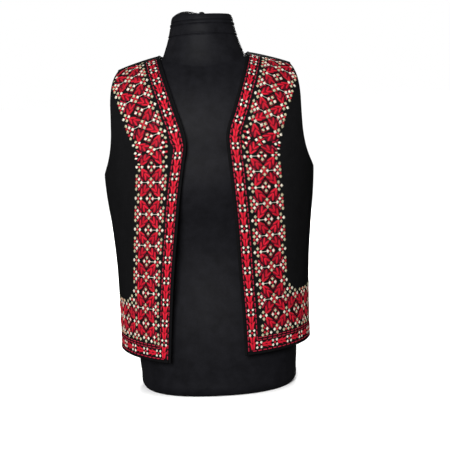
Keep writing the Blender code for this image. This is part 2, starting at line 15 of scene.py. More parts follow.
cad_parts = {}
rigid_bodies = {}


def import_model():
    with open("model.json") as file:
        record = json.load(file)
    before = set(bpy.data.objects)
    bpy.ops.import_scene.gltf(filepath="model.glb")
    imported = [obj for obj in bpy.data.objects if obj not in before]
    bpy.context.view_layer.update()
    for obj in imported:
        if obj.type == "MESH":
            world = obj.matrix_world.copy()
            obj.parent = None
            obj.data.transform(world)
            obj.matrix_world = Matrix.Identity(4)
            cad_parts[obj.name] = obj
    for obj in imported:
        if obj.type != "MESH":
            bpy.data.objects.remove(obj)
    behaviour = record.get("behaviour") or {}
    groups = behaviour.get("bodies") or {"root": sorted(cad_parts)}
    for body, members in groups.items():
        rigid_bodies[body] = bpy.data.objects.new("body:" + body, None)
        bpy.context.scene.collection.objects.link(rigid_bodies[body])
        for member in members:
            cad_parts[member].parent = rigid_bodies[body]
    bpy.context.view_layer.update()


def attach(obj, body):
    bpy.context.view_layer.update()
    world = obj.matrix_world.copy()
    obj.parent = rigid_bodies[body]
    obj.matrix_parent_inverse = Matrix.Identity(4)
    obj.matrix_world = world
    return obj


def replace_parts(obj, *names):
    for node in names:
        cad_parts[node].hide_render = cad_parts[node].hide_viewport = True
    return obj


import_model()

bl_info = {
    "name": "Embroidered Folk Vest",
    "version": (1, 0, 0),
    "blender": (4, 5, 0),
    "location": "View3D > Sidebar > Folk Vest",
    "description": "Builds an embroidered wool vest on a dress form over its packed frame",
    "category": "Add Mesh",
}

RIGHT, LEFT = -1, 1
FRONT, BACK = -1, 1
SIDES = ((RIGHT, "right"), (LEFT, "left"))
MM = 0.001
QUARTER = math.pi / 2

# ---------------- the wall of the vest
WALL = 0.0024
GAP = 0.0003
BINDING_WIDTH, BINDING_RISE = 0.0047, 0.0006
PANEL_INSET = 0.0051
CORNER_GAP = 0.0006
CAP_START = 0.460
CAP_POWER = {FRONT: 2.15, BACK: 2.50}
NECK_HALF_WIDTH, NECK_BACK_LEVEL, NECK_CURVE_POWER = 0.084, 1.640, 4.0
UNDERARM = 0.4300
HEM_BAND_TOP = 0.113

# height: half width, front depth, back depth, squareness, lean
VEST_RINGS = np.array((
    (0.070, 0.1915, 0.135, 0.124, 2.05, -0.0035), (0.160, 0.1900, 0.131, 0.116, 2.05, -0.0025),
    (0.250, 0.1920, 0.129, 0.110, 2.08, -0.0010), (0.330, 0.1980, 0.130, 0.112, 2.15, 0.0000),
    (0.400, 0.2045, 0.132, 0.118, 2.25, 0.0000), (0.430, 0.2060, 0.132, 0.120, 2.30, 0.0000),
    (0.460, 0.2060, 0.131, 0.121, 2.35, 0.0000),
))
# distance from the middle: height of the shoulder seam
RIDGE = np.array((
    (0.000, 0.6640), (0.050, 0.6620), (0.084, 0.6570), (0.125, 0.6470),
    (0.165, 0.6340), (0.190, 0.6230), (0.206, 0.6140),
))
# height: distance of the front edge from the middle, wearer's right, left
FRONT_EDGE = np.array((
    (0.070, 0.0870, 0.0566), (0.160, 0.0805, 0.0543), (0.250, 0.0730, 0.0494), (0.330, 0.0634, 0.0460),
    (0.400, 0.0540, 0.0422), (0.460, 0.0432, 0.0382), (0.490, 0.0380, 0.0360), (0.505, 0.0390, 0.0360),
    (0.560, 0.0538, 0.0532), (0.620, 0.0725, 0.0728), (0.657, 0.0840, 0.0840),
))
# height: distance of the edge of the armhole from the middle
ARM_EDGE = np.array((
    (0.430, 0.2060), (0.436, 0.2035), (0.446, 0.1990), (0.460, 0.1930), (0.480, 0.1870), (0.505, 0.1830),
    (0.540, 0.1815), (0.580, 0.1810), (0.600, 0.1790), (0.615, 0.1755), (0.625, 0.1715), (0.634, 0.1665),
))
# height of the hem at the front corner, the side seam and the middle back
HEM = {RIGHT: (0.0730, 0.0840, 0.0900), LEFT: (0.0860, 0.0900, 0.0900)}
STEP = 1e-5
ROW_SAMPLES = 240


def smooth_step(low, high, at):
    part = np.clip((at - low) / (high - low), 0.0, 1.0)
    return part * part * (3 - 2 * part)


def unit(vectors):
    return vectors / np.maximum(np.linalg.norm(vectors, axis=-1, keepdims=True), 1e-12)


def dot(first, second):
    return (first * second).sum(axis=-1, keepdims=True)


def arc_lengths(points, axis=0):
    """Distance of each point along its line from the first."""
    steps = np.linalg.norm(np.diff(points, axis=axis), axis=-1)
    start = np.zeros_like(np.take(steps, [0], axis=axis))
    return np.concatenate([start, np.cumsum(steps, axis=axis)], axis=axis)


def between(grid, i, j):
    """What a grid holds at a fractional row and column."""
    i0, j0 = i.astype(int), j.astype(int)
    fi, fj = i - i0, j - j0
    if grid.ndim > 2:
        fi, fj = fi[..., None], fj[..., None]
    low = grid[i0, j0] * (1 - fj) + grid[i0, j0 + 1] * fj
    return low * (1 - fi) + (grid[i0 + 1, j0] * (1 - fj) + grid[i0 + 1, j0 + 1] * fj) * fi


def curve(table, column, at, flat_start=False):
    """A smooth curve through one column of a table, read at a value of its first column."""
    places, values = table[:, 0], table[:, column]
    slopes = np.gradient(values, places)
    if flat_start:
        slopes[0] = 0.0
    at = np.clip(np.asarray(at, float), places[0], places[-1])
    low = np.clip(np.searchsorted(places, at) - 1, 0, len(places) - 2)
    span = places[low + 1] - places[low]
    part = (at - places[low]) / span
    rest = 1 - part
    found = values[low] * (1 + 2 * part) * rest**2 + values[low + 1] * part**2 * (3 - 2 * part)
    return found + span * part * rest * (slopes[low] * rest - slopes[low + 1] * part)


def ridge_height(across):
    return curve(RIDGE, 1, np.abs(across), True)


def arm_edge(height):
    return curve(ARM_EDGE, 1, height)


def front_edge(side):
    return lambda height: curve(FRONT_EDGE, 1 if side == RIGHT else 2, height)


def hem_height(side, facing, angle):
    corner, seam, middle = HEM[side]
    end = corner if facing == FRONT else middle
    return seam + (end - seam) * np.sin(np.asarray(angle, float)) ** 2


def wall_point(side, facing, angle, level):
    """A point of the outside of the vest: angle 0 at the side seam and a quarter turn in the
    middle, level 0 at the hem, 1 at the chest and 2 at the shoulder seam."""
    angle, level = np.asarray(angle, float), np.asarray(level, float)
    hem = hem_height(side, facing, angle)
    height = hem + (CAP_START - hem) * np.minimum(level, 1.0)
    power = 2.0 / curve(VEST_RINGS, 4, height)
    across = curve(VEST_RINGS, 1, height) * np.abs(np.cos(angle)) ** power
    depth = curve(VEST_RINGS, 2 if facing == FRONT else 3, height) * np.abs(np.sin(angle)) ** power
    turn = np.clip(level - 1.0, 0.0, 1.0) * QUARTER
    cap = 2.0 / CAP_POWER[facing]
    depth = depth * np.abs(np.cos(turn)) ** cap
    height = height + (ridge_height(across) - CAP_START) * np.abs(np.sin(turn)) ** cap
    lean = curve(VEST_RINGS, 5, height)
    return np.stack([side * across + lean, facing * (GAP / 2 + depth), height], axis=-1)


def tangents(side, facing, angle, level):
    a0, a1 = np.clip(angle - STEP, 0, QUARTER), np.clip(angle + STEP, 0, QUARTER)
    l0, l1 = np.clip(level - STEP, 0, 2), np.clip(level + STEP, 0, 2)
    by_angle = wall_point(side, facing, a1, level) - wall_point(side, facing, a0, level)
    by_level = wall_point(side, facing, angle, l1) - wall_point(side, facing, angle, l0)
    return by_angle / (a1 - a0)[..., None], by_level / (l1 - l0)[..., None]


def wall_normal(side, facing, angle, level):
    angle = np.clip(angle, STEP, QUARTER - STEP)
    level = np.clip(level, 0.0, 2.0 - STEP)
    normal = unit(np.cross(*tangents(side, facing, angle, level)))
    outward = wall_point(side, facing, angle, level) - np.array([0.0, 0.0, CAP_START - 0.1])
    return normal * np.sign(dot(normal, outward))


def angle_of(across, height):
    part = np.clip(np.asarray(across) / curve(VEST_RINGS, 1, height), 0.0, 1.0)
    return np.arccos(part ** (curve(VEST_RINGS, 4, height) / 2.0))


def place_on_row(side, facing, level, distance_at):
    """The angle where rows of one level meet a line given as its distance by height."""
    angle = np.full(np.shape(level), math.pi / 4)
    for _ in range(30):
        height = wall_point(side, facing, angle, level)[..., 2]
        angle = angle_of(distance_at(height), height)
    return angle


def distance_along(side, facing, level, start, distance, beyond=None, samples=ROW_SAMPLES):
    """The angle that lies a distance along a row, towards the side seam."""
    angles = np.linspace(start, 0.0, samples)
    length = arc_lengths(wall_point(side, facing, angles, np.full(samples, level)))
    return np.interp(distance, length, angles, right=beyond)


def walk(side, facing, angle, level, move):
    """Moves points over the wall by a vector each."""
    goal = wall_point(side, facing, angle, level) + move
    for _ in range(3):
        by_angle, by_level = tangents(side, facing, angle, level)
        short = goal - wall_point(side, facing, angle, level)
        aa, al, ll = (by_angle**2).sum(-1), (by_angle * by_level).sum(-1), (by_level**2).sum(-1)
        sa, sl = (short * by_angle).sum(-1), (short * by_level).sum(-1)
        spread = np.maximum(aa * ll - al * al, 1e-14)
        angle = np.clip(angle + (sa * ll - sl * al) / spread, 0.0, QUARTER)
        level = np.clip(level + (sl * aa - sa * al) / spread, 0.0, 2.0)
    return angle, level


# ---------------- where the embroidery lies
# Places across a front: millimetres of the chart, then of the cloth below and above the mitre
ACROSS = {
    RIGHT: (
        (0, 16, 39, 65, 91, 117, 143, 169, 250),
        (0, 15, 35, 58.5, 83, 107.5, 131, 155, 236),
        (0, 19, 41, 69, 98.5, 126, 152, 178, 259),
    ),
    LEFT: (
        (0, 16, 39, 65, 91, 117, 143, 169, 250),
        (0, 16, 39, 65, 91.5, 118, 144, 170, 251),
        (0, 16.5, 38.5, 66, 96, 123, 149, 175, 256),
    ),
}
# Rows of the field up a front and clusters of its chain, in millimetres from the neck corner
FIELD_ROWS = {
    RIGHT: (-379, -350.5, -321, -290.5, -258.5, -228, -197.5, -167, -137, -107, -77,
            -48, -4, 30, 58, 86, 115, 142, 165, 190, 216, 242),
    LEFT: (-375.5, -346, -315.5, -284, -253, -222.5, -192, -161.5, -131, -100, -70,
           -42, 0, 39, 64, 92, 120.5, 146, 171, 193, 217, 242),
}
MITRE_ROW = 12  # the field turns here
ROWS_BELOW = (-429.0, -418.0, -405.0, -392.0)  # what the field stretches over under its first row
# How far a node of the field lies outwards of its column and above its row, in millimetres, by
# its column and row; no column stands for the whole row
FIELD_SHIFT = {
    RIGHT: {
        (None, 0): (-3.5, 0.0), (None, 1): (-2.0, 0.0), (None, 10): (1.2, 0.0), (None, 11): (3.6, 0.0),
        (None, 12): (4.4, 0.0), (0, 12): (0.4, 0.0), (1, 12): (0.4, -3.0), (None, 13): (-1.0, 0.0),
        (1, 13): (-3.4, -7.5),
    },
    LEFT: {
        (None, 0): (4.0, 0.0), (None, 1): (2.0, 0.0), (None, 2): (1.0, 0.0), (-1, 11): (-2.6, 0.0),
        (0, 11): (-1.8, 0.0), (None, 12): (-1.8, 4.5), (0, 12): (-3.0, 5.7), (1, 12): (5.0, 7.0),
        (0, 13): (0.0, 2.0), (-1, 13): (1.8, 6.5), (-1, 14): (0.0, 3.5), (1, 14): (-2.5, 0.0),
        (-1, 15): (0.0, 3.5), (1, 15): (-1.5, 0.0), (-1, 16): (0.0, 1.0), (1, 17): (2.0, 0.0),
    },
}
CHAIN_ROWS = {
    RIGHT: (-420, -383, -345, -304.5, -263, -223, -183, -143, -105, -67, -29,
            28, 62, 96, 131, 160, 186, 222, 258),
    LEFT: (-415, -376, -336, -296.5, -255, -215.5, -175, -136, -97, -59, -20,
           37, 69, 103, 138, 165, 191, 215, 240),
}
CORNER_LEVEL = {RIGHT: 1.110, LEFT: 1.125}
CHART_SPAN = {RIGHT: 0.3805, LEFT: 0.3716}
CHART_SAMPLES, EDGE_SAMPLES = 300, 500
MITRE_SLOPE, MITRE_BLEND = math.tan(math.radians(9.0)), 0.024
GRID = 0.004
FIELD_START, FIELD_STEP = 30.0, 2.0
# No stitches lie nearer than this to the shoulder seam, in metres, and to the armhole, as an angle
SEAM_CLEAR, ARM_CLEAR = 0.0024, 0.012


class FrontChart:
    """Places on one front by s, along the front edge from its corner, and t, in from the edge."""

    def __init__(self, side):
        self.side = side
        corner, line = CORNER_LEVEL[side], front_edge(side)
        self.s = np.arange(-0.430, 0.232, GRID)
        self.t = np.arange(0.0, 0.252, GRID)
        # straight part: rows of one level, measured from the edge
        levels = np.clip(corner + self.s / CHART_SPAN[side], 0.0, 2.0)
        starts = place_on_row(side, FRONT, levels, line)
        angles = [
            distance_along(side, FRONT, level, start, self.t, -1.0, CHART_SAMPLES)
            for level, start in zip(levels, starts)
        ]
        self.low = np.stack(np.broadcast_arrays(angles, levels[:, None]), -1)
        # neck part: rows square to the edge
        edge_levels = np.linspace(corner, 2.0, EDGE_SAMPLES)
        edge_angles = place_on_row(side, FRONT, edge_levels, line)
        edge = wall_point(side, FRONT, edge_angles, edge_levels)
        length = arc_lengths(edge)
        along = np.clip(self.s, 0.0, length[-1])
        angle = np.interp(along, length, edge_angles)
        level = np.interp(along, length, edge_levels)
        ahead, behind = (
            np.stack([np.interp(along + move, length, edge[:, k]) for k in range(3)], -1)
            for move in (GRID, -GRID)
        )
        run = unit(ahead - behind)
        run[self.s <= GRID] = run[np.searchsorted(self.s, 3 * GRID)]
        angle, level = walk(side, FRONT, angle, level, run * np.minimum(self.s, 0.0)[:, None])
        columns, heading = [], None
        for _ in self.t:
            columns.append(np.stack([angle, level], -1))
            normal = wall_normal(side, FRONT, angle, level)
            if heading is None:
                heading = unit(np.cross(normal, run))
                heading = heading * np.sign(heading[:, :1] * side)
            heading = unit(heading - normal * dot(heading, normal))
            angle, level = walk(side, FRONT, angle, level, heading * GRID)
        self.up = np.stack(columns, 1)
        rows = FIELD_ROWS[side]
        halves = [
            (low + high) / 2 for number, (low, high) in enumerate(zip(rows, rows[1:]))
            if number not in (MITRE_ROW - 1, MITRE_ROW)
        ]
        self.rows = np.array(sorted([*rows, *halves, *ROWS_BELOW]))
        self.columns = np.arange(FIELD_START, 244.0, FIELD_STEP)
        self.field = np.stack(self.bend(*np.meshgrid(self.rows, self.columns, indexing="ij")), -1)

    def read(self, grid, s, t):
        """Angle and level from one of the two grids, at s and t in metres."""
        i = np.clip((s - self.s[0]) / GRID, 0, len(self.s) - 1.001)
        return between(grid, i, np.clip(t / GRID, 0, len(self.t) - 1.001))

    def bend(self, s, t):
        """Angle, level and whether the cloth reaches, from the rows below and above the mitre."""
        places, below, above = ACROSS[self.side]
        s, low_t = np.asarray(s, float) * MM, np.interp(t, places, below) * MM
        low = self.read(self.low, s, low_t)
        up = self.read(self.up, s, np.interp(t, places, above) * MM)
        share = smooth_step(-0.5, 0.5, (s + low_t * MITRE_SLOPE) / MITRE_BLEND)[..., None]
        found = low * (1 - share) + up * share
        return found[..., 0], found[..., 1], ((low[..., 0] > 0.0) | (share[..., 0] > 0.999)) * 1.0

    def place(self, s, t):
        """Angle, level and whether the place is on the cloth; s and t in millimetres of the chart."""
        found = np.stack(self.bend(s, t), -1)
        # the field is stretched evenly between its rows, so its motifs turn the mitre unbroken
        last = len(self.rows) - 1
        i = np.clip(np.interp(s, self.rows, np.arange(last + 1)), 0.0, last - 1e-9)
        j = np.clip((t - FIELD_START) / FIELD_STEP, 0.0, len(self.columns) - 1.001)
        inside = t > FIELD_START + 1.0
        found = np.where(inside[..., None], between(self.field, i, j), found)
        angle, level, reached = found[..., 0], found[..., 1], found[..., 2]
        good = (angle > 0.004) & (level > 0.0) & (level < 1.995) & (reached > 0.99)
        height = wall_point(self.side, FRONT, np.clip(angle, 0, 2), level)[..., 2]
        arm = np.where(height > UNDERARM, angle_of(arm_edge(height), height) + ARM_CLEAR, 0.0)
        return angle, level, good & (angle > arm)


# ---------------- soft creases of the cloth
# Each crease: height of its crown in mm (a trough is below 0), half width in mm, then its
# places as (degrees round the body, height in metres). 0 is the wearer's left side, -90 the
# front, 90 the middle back and 180 the wearer's right side.
CREASES = (
    (1.7, 15, ((-172, 0.425), (-168, 0.350), (-166, 0.270), (-168, 0.205))),
    (-0.9, 11, ((-160, 0.400), (-157, 0.330), (-156, 0.250))),
    (0.8, 10, ((-177, 0.330), (-178, 0.250), (-176, 0.180), (-179, 0.120))),
    (-1.0, 13, ((-184, 0.415), (-186, 0.330), (-184, 0.240), (-187, 0.150))),
    (1.2, 14, ((-8, 0.425), (-12, 0.350), (-13, 0.270), (-10, 0.190))),
    (-0.8, 12, ((-19, 0.400), (-22, 0.320), (-21, 0.240))),
    (0.9, 11, ((2, 0.350), (4, 0.270), (1, 0.190), (3, 0.120))),
    (-1.1, 14, ((9, 0.420), (12, 0.330), (10, 0.230), (13, 0.140))),
    (1.9, 15, ((20, 0.440), (27, 0.360), (31, 0.270), (33, 0.180), (31, 0.110))),
    (-2.0, 13, ((38, 0.470), (44, 0.380), (47, 0.290), (46, 0.200))),
    (2.0, 14, ((58, 0.420), (62, 0.330), (64, 0.240), (61, 0.150))),
    (-2.6, 17, ((82, 0.480), (86, 0.390), (89, 0.300), (86, 0.220), (87, 0.150))),
    (1.8, 13, ((110, 0.450), (115, 0.350), (119, 0.250), (117, 0.140))),
    (-2.2, 13, ((134, 0.480), (138, 0.390), (136, 0.300), (139, 0.210), (136, 0.130))),
    (1.3, 11, ((73, 0.250), (76, 0.190), (74, 0.130))),
    (1.4, 12, ((99, 0.395), (102, 0.330), (101, 0.270))),
    (2.0, 14, ((158, 0.445), (152, 0.370), (149, 0.280), (151, 0.190), (149, 0.115))),
    (-0.9, 12, ((171, 0.410), (168, 0.330), (170, 0.240), (167, 0.160))),
    (0.35, 20, ((-75, 0.200), (-77, 0.260), (-74, 0.330))),
    (-0.35, 18, ((-112, 0.190), (-115, 0.270), (-113, 0.350))),
    (0.3, 16, ((-58, 0.240), (-60, 0.320), (-57, 0.390))),
    (0.35, 16, ((-126, 0.230), (-124, 0.310), (-127, 0.400))),
    (1.7, 12, ((66, 0.575), (57, 0.530), (46, 0.495), (38, 0.475))),
    (1.5, 12, ((113, 0.570), (123, 0.525), (134, 0.490))),
    (-1.2, 10, ((70, 0.540), (62, 0.500), (54, 0.470))),
)
BODY_RADIUS = 0.165  # turns degrees round the body into a distance over the cloth
# The seam allowance lifts the cloth along the shoulder seam: how high, how far each way, and
# the heights on the body where the seam starts and is whole
SEAM_WELT, SEAM_SPREAD, SEAM_START = 0.0024, 0.0080, (0.560, 0.580)
# the cloth rests on the form above these heights, with no creases
REST_HEIGHT = {FRONT: (0.500, 0.575), BACK: (0.570, 0.620)}
BACK_STARTS = (-0.02, 0.04)  # from the side of the body towards its back
CREASE_FADE = 0.12  # how much of a crease shows at its ends


def crease_lift(points, strength):
    """How far the creases move the cloth outwards at points of its wall."""
    deep, height = points[..., 1], points[..., 2]
    bearing = np.degrees(np.arctan2(deep, points[..., 0]))
    lift = np.zeros(height.shape)
    for crown, half_width, places in CREASES:
        nearest = np.full(height.shape, 9.0)
        along = np.zeros(height.shape)
        for step in range(len(places) - 1):
            low, high = places[step], places[step + 1]
            aside = (bearing - low[0] + 180.0) % 360.0 - 180.0
            aside = np.radians(aside) * BODY_RADIUS
            up = height - low[1]
            reach = np.array([math.radians(high[0] - low[0]) * BODY_RADIUS, high[1] - low[1]])
            part = np.clip((aside * reach[0] + up * reach[1]) / (reach @ reach), 0.0, 1.0)
            far = np.hypot(aside - part * reach[0], up - part * reach[1])
            closer = far < nearest
            nearest = np.where(closer, far, nearest)
            along = np.where(closer, (step + part) / (len(places) - 1), along)
        fade = np.sin(np.pi * (CREASE_FADE + (1.0 - 2.0 * CREASE_FADE) * along))
        lift += crown * MM * fade * np.exp(-((nearest / (half_width * MM)) ** 2))
    resting, resting_back = (1.0 - smooth_step(*REST_HEIGHT[facing], height) for facing in (FRONT, BACK))
    resting = resting + (resting_back - resting) * smooth_step(*BACK_STARTS, deep)
    welt = SEAM_WELT * np.exp(-((deep / SEAM_SPREAD) ** 2)) * smooth_step(*SEAM_START, height)
    return strength * lift * resting + welt


def creased(points, normals, above=0.0):
    """Points of the wall moved out by the creases and by a height over the cloth."""
    strength = bpy.context.scene.folk_vest.cloth.crease_strength
    return points + normals * (crease_lift(points, strength) + above)[..., None]


# ---------------- rows of points on the panels
LOWER_ROWS, ARM_ROWS, CAP_ROWS = 78, 12, 62
PANEL_COLUMNS, NECK_COLUMNS, OUTER_COLUMNS = 64, 24, 44
SPLIT_AT_HEM = 0.095


def panel_levels(side):
    span = CAP_START - HEM[side][1]
    underarm = (UNDERARM - HEM[side][1]) / span
    lower = np.linspace(PANEL_INSET / span, underarm, LOWER_ROWS, endpoint=False)
    arm = np.linspace(underarm, 1.0, ARM_ROWS, endpoint=False)
    return np.concatenate([lower, arm, np.linspace(1.0, 2.0, CAP_ROWS)]), underarm


def even_angles(side, facing, level_of, start, end, count):
    """Angles that cut a stretch of a row into equal lengths."""
    angles = np.linspace(start, end, ROW_SAMPLES)
    length = arc_lengths(wall_point(side, facing, angles, level_of(angles)))
    return np.interp(np.linspace(0.0, length[-1], count + 1), length, angles)


def front_line(side, levels):
    """The bound front edge: its angles, points, normals, run and direction into the cloth."""
    angles = place_on_row(side, FRONT, levels, front_edge(side))
    points = wall_point(side, FRONT, angles, levels)
    normals = wall_normal(side, FRONT, angles, levels)
    run = unit(np.gradient(points, axis=0))
    into = unit(np.cross(normals, run))
    return angles, points, normals, run, into * np.sign(into[0, 0] * side)


def front_rows(side):
    """Angles and levels of the points of one front, by row and by column from its edge."""
    levels, underarm = panel_levels(side)
    edge_angles, points, _, run, _ = front_line(side, levels)
    ahead = unit(wall_point(side, FRONT, edge_angles - STEP, levels) - points)
    slant = np.linalg.norm(np.cross(ahead, run), axis=-1)
    ends = np.where(levels > underarm, place_on_row(side, FRONT, levels, arm_edge), 0.0)
    rows = []
    for level, edge, inset, end in zip(levels, edge_angles, PANEL_INSET / slant, ends):
        start = distance_along(side, FRONT, level, edge, inset)
        row = even_angles(side, FRONT, lambda angles: np.full(angles.shape, level), start, end, PANEL_COLUMNS)
        rows.append(row)
    return np.array(rows), np.repeat(levels[:, None], PANEL_COLUMNS + 1, axis=1)


def neck_frames(side, count):
    """The bound neck edge of one half of the back, from the middle to the neck point: its
    angles, levels, points, normals and directions into the cloth."""
    across = NECK_HALF_WIDTH * np.sin(np.linspace(0.0, QUARTER, ROW_SAMPLES))
    level = NECK_BACK_LEVEL + (2.0 - NECK_BACK_LEVEL) * (across / NECK_HALF_WIDTH) ** NECK_CURVE_POWER
    angle = angle_of(across, CAP_START)
    length = arc_lengths(wall_point(side, BACK, angle, level))
    wanted = np.linspace(0.0, length[-1], count + 1)
    angle, level = np.interp(wanted, length, angle), np.interp(wanted, length, level)
    points = wall_point(side, BACK, angle, level)
    normals = wall_normal(side, BACK, angle, level)
    mirrored = points[1:2] * np.array([-1.0, 1.0, 1.0])
    run = np.gradient(np.concatenate([mirrored, points]), axis=0)[1:]
    run[-1] = [0.0, -1.0, 0.0]
    into = unit(np.cross(unit(run), normals))
    outward = dot(into, points * np.array([1.0, 1.0, 0.0]))
    return angle, level, points, normals, into * np.sign(outward)


def back_rows(side):
    """Angles and levels of the points of one half of the back, from the middle outwards."""
    levels, underarm = panel_levels(side)
    neck_angle, neck_level, _, _, into = neck_frames(side, NECK_COLUMNS)
    top_angle, top_level = walk(side, BACK, neck_angle, neck_level, into * PANEL_INSET)
    top_level[-1] = 2.0
    corner = abs(wall_point(side, BACK, top_angle[-1], 2.0)[0])
    top_angle[0] = QUARTER
    top_across = np.abs(wall_point(side, BACK, top_angle, top_level)[:, 0])
    ends = np.where(levels > underarm, place_on_row(side, BACK, levels, arm_edge), 0.0)
    rows, row_levels = [], []
    for level, end in zip(levels, ends):
        turned = max(level - 1.0, 0.0)
        split_across = SPLIT_AT_HEM + (corner - SPLIT_AT_HEM) * min(level / 2.0, 1.0)

        def level_of(angles):
            across = np.abs(wall_point(side, BACK, angles, np.ones(angles.shape))[:, 0])
            top = np.interp(across, top_across, top_level)
            return np.where(turned > 0.0, 1.0 + (top - 1.0) * turned, level)

        split_height = HEM[LEFT][1] + (CAP_START - HEM[LEFT][1]) * min(level, 1.0)
        split = float(angle_of(split_across, split_height))
        inner = even_angles(side, BACK, level_of, QUARTER, split, NECK_COLUMNS)
        if level == levels[-1]:
            inner, split = top_angle, top_angle[-1]
        outer = even_angles(side, BACK, level_of, split, end, OUTER_COLUMNS)
        rows.append(np.concatenate([inner, outer[1:]]))
        row_levels.append(level_of(rows[-1]))
    row_levels[-1][: NECK_COLUMNS + 1] = top_level
    return np.array(rows), np.array(row_levels)


# ---------------- meshes
def strips(number, closed=True):
    """Quads between the rows of a grid of point numbers, round to the first column if closed."""
    beside = np.roll(number, -1, axis=-1)
    quads = np.stack([number[..., :-1, :], beside[..., :-1, :], beside[..., 1:, :], number[..., 1:, :]], -1)
    return (quads if closed else quads[..., :-1, :]).reshape(-1, 4)


def mesh_piece(name, points, faces, material, uv, tone=None):
    """A mesh as a piece of the vest that stands on its body."""
    mesh = bpy.data.meshes.new(name)
    mesh.from_pydata(points.tolist(), [], faces if isinstance(faces, list) else faces.tolist())
    mesh.shade_smooth()
    corner = np.empty(len(mesh.loops), dtype=np.int32)
    mesh.loops.foreach_get("vertex_index", corner)
    layer = mesh.uv_layers.new(name="cloth")
    layer.data.foreach_set("uv", uv.astype(np.float32)[corner].ravel())
    if tone is not None:
        attribute = mesh.attributes.new("tone", "FLOAT", "POINT")
        attribute.data.foreach_set("value", tone.astype(np.float32))
    mesh.materials.append(material)
    piece = bpy.data.objects.new(name, mesh)
    bpy.context.scene.collection.objects.link(piece)
    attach(piece, "root")
    return piece


RIM = ((0.16, 0.7), (0.5, 1.0), (0.84, 0.7))  # through the cloth, and how far the rim swells
RIM_SWELL = 0.00022


def cloth_panel(name, blocks, material):
    """A panel of cloth as a thin closed shell with a rounded rim, from one or two blocks of
    columns, each with its side, facing, angles and levels."""
    points = [wall_point(*block) for block in blocks]
    normals = [wall_normal(*block) for block in blocks]
    if len(blocks) == 2:
        middle = points[0].shape[1] - 1
        points, normals = (
            np.concatenate([first[:, ::-1], second[:, 1:]], axis=1) for first, second in (points, normals)
        )
        normals[:, middle, 0] = 0.0
        normals = unit(normals)
    else:
        points, normals = points[0], normals[0]
    rows, columns = points.shape[:2]
    outer = creased(points, normals)
    number = np.arange(rows * columns).reshape(rows, columns)
    across = arc_lengths(outer, 1)
    across -= across[:, columns // 2: columns // 2 + 1]
    uv = np.stack([across, arc_lengths(outer)], axis=-1).reshape(-1, 2)
    loop = np.concatenate([number[0, :-1], number[:-1, -1], number[-1, :0:-1], number[:0:-1, 0]])
    inward = np.concatenate([number[1, :-1], number[:-1, -2], number[-2, :0:-1], number[:0:-1, 1]])
    flat_outer, flat_normal = outer.reshape(-1, 3), normals.reshape(-1, 3)
    push = unit(flat_outer[loop] - flat_outer[inward])
    count = rows * columns
    everything, uvs, rings = [flat_outer, flat_outer - flat_normal * WALL], [uv, uv], [loop]
    for depth, swell in RIM:
        everything.append(flat_outer[loop] - flat_normal[loop] * WALL * depth + push * RIM_SWELL * swell)
        uvs.append(uv[loop])
        rings.append((len(rings) - 1) * len(loop) + 2 * count + np.arange(len(loop)))
    quads, rim = strips(number, closed=False), strips(np.stack([*rings, loop + count]))
    if np.cross(outer[1, 1] - outer[0, 0], outer[1, 0] - outer[0, 1]) @ normals[0, 0] < 0.0:
        quads = quads[:, ::-1]
    else:
        rim = rim[:, ::-1]
    faces = np.concatenate([quads, quads[:, ::-1] + count, rim])
    return mesh_piece(name, np.concatenate(everything), faces, material, np.concatenate(uvs))


BINDING_ROUND, BINDING_POWER = 14, 3.4
BINDING_FOLD = 0.45  # how much thinner the tape is at its fold
TAPE_ROUND = 0.004  # length of the weave round half of the tape
EDGE_POINTS, NECK_POINTS, HEM_POINTS = (150, 110), 60, {FRONT: 90, BACK: 120}


def fold_over(name, points, normals, into, material):
    """A tape folded round an edge, as a rounded strip that follows the edge."""
    turns = np.linspace(0.0, 2.0 * math.pi, BINDING_ROUND, endpoint=False)
    across, through = (
        np.sign(wave) * np.abs(wave) ** (2.0 / BINDING_POWER) for wave in (np.cos(turns), np.sin(turns))
    )
    through = through * np.where(across < 0.0, 1.0 - BINDING_FOLD * across**2, 1.0)
    points = creased(points, normals)
    middle = points + into * (BINDING_WIDTH / 2) + normals * ((BINDING_RISE - WALL) / 2)
    solid = middle[:, None] + into[:, None] * (across[None, :, None] * BINDING_WIDTH / 2)
    solid = solid + normals[:, None] * (through[None, :, None] * (WALL + BINDING_RISE) / 2)
    uv = np.broadcast_arrays(arc_lengths(points)[:, None], turns[None] / math.pi * TAPE_ROUND)
    number = np.arange(len(points) * BINDING_ROUND).reshape(-1, BINDING_ROUND)
    way = np.cross(solid[0, 1] - solid[0, 0], solid[1, 0] - solid[0, 0]) @ (solid[0, 0] - middle[0])
    turn = 1 if way > 0.0 else -1
    caps = [number[0, ::-1][::turn].tolist(), number[-1][::turn].tolist()]
    faces = strips(number)[:, ::turn].tolist() + caps
    return mesh_piece(name, solid.reshape(-1, 3), faces, material, np.stack(uv, -1).reshape(-1, 2))


# ---------------- stitches
STATIONS = np.array((0.0, 0.10, 0.5, 0.90, 1.0))
STATION_WIDTH = np.array((0.55, 1.0, 1.0, 1.0, 0.55))
STATION_RISE = np.array((0.15, 0.85, 1.0, 0.85, 0.15))
SECTION_ACROSS = np.array((-0.5, -0.27, 0.27, 0.5))
SECTION_UP = np.array((0.0, 0.9, 0.9, 0.0))
SECTION_STEP = 0.0004  # length of the yarn's twist from one corner of the section to the next
THREADS = ("red", "maroon", "crimson", "cream", "beige")
STRAY, TONE_STRAY = 0.09, 0.2  # how far the ends and the tones of stitches stray
STITCH_BASE = 0.00002
PRESSED = 0.75  # how much of its full height a stitch keeps once it is pressed
# over these heights, up to the shoulder seam, stitches turn flatter by the first amount, and darker by the
# second as painted shade where the cloth turns up to the shoulders
FLAT_AND_SHADED_HEIGHT, WORN_RISE, PAINTED_SHOULDER_SHADE = (0.560, 0.635), 0.25, 0.3


def part_way(start, end, part):
    """The place a part of the way from one place to another."""
    return tuple(a + (b - a) * part for a, b in zip(start, end))


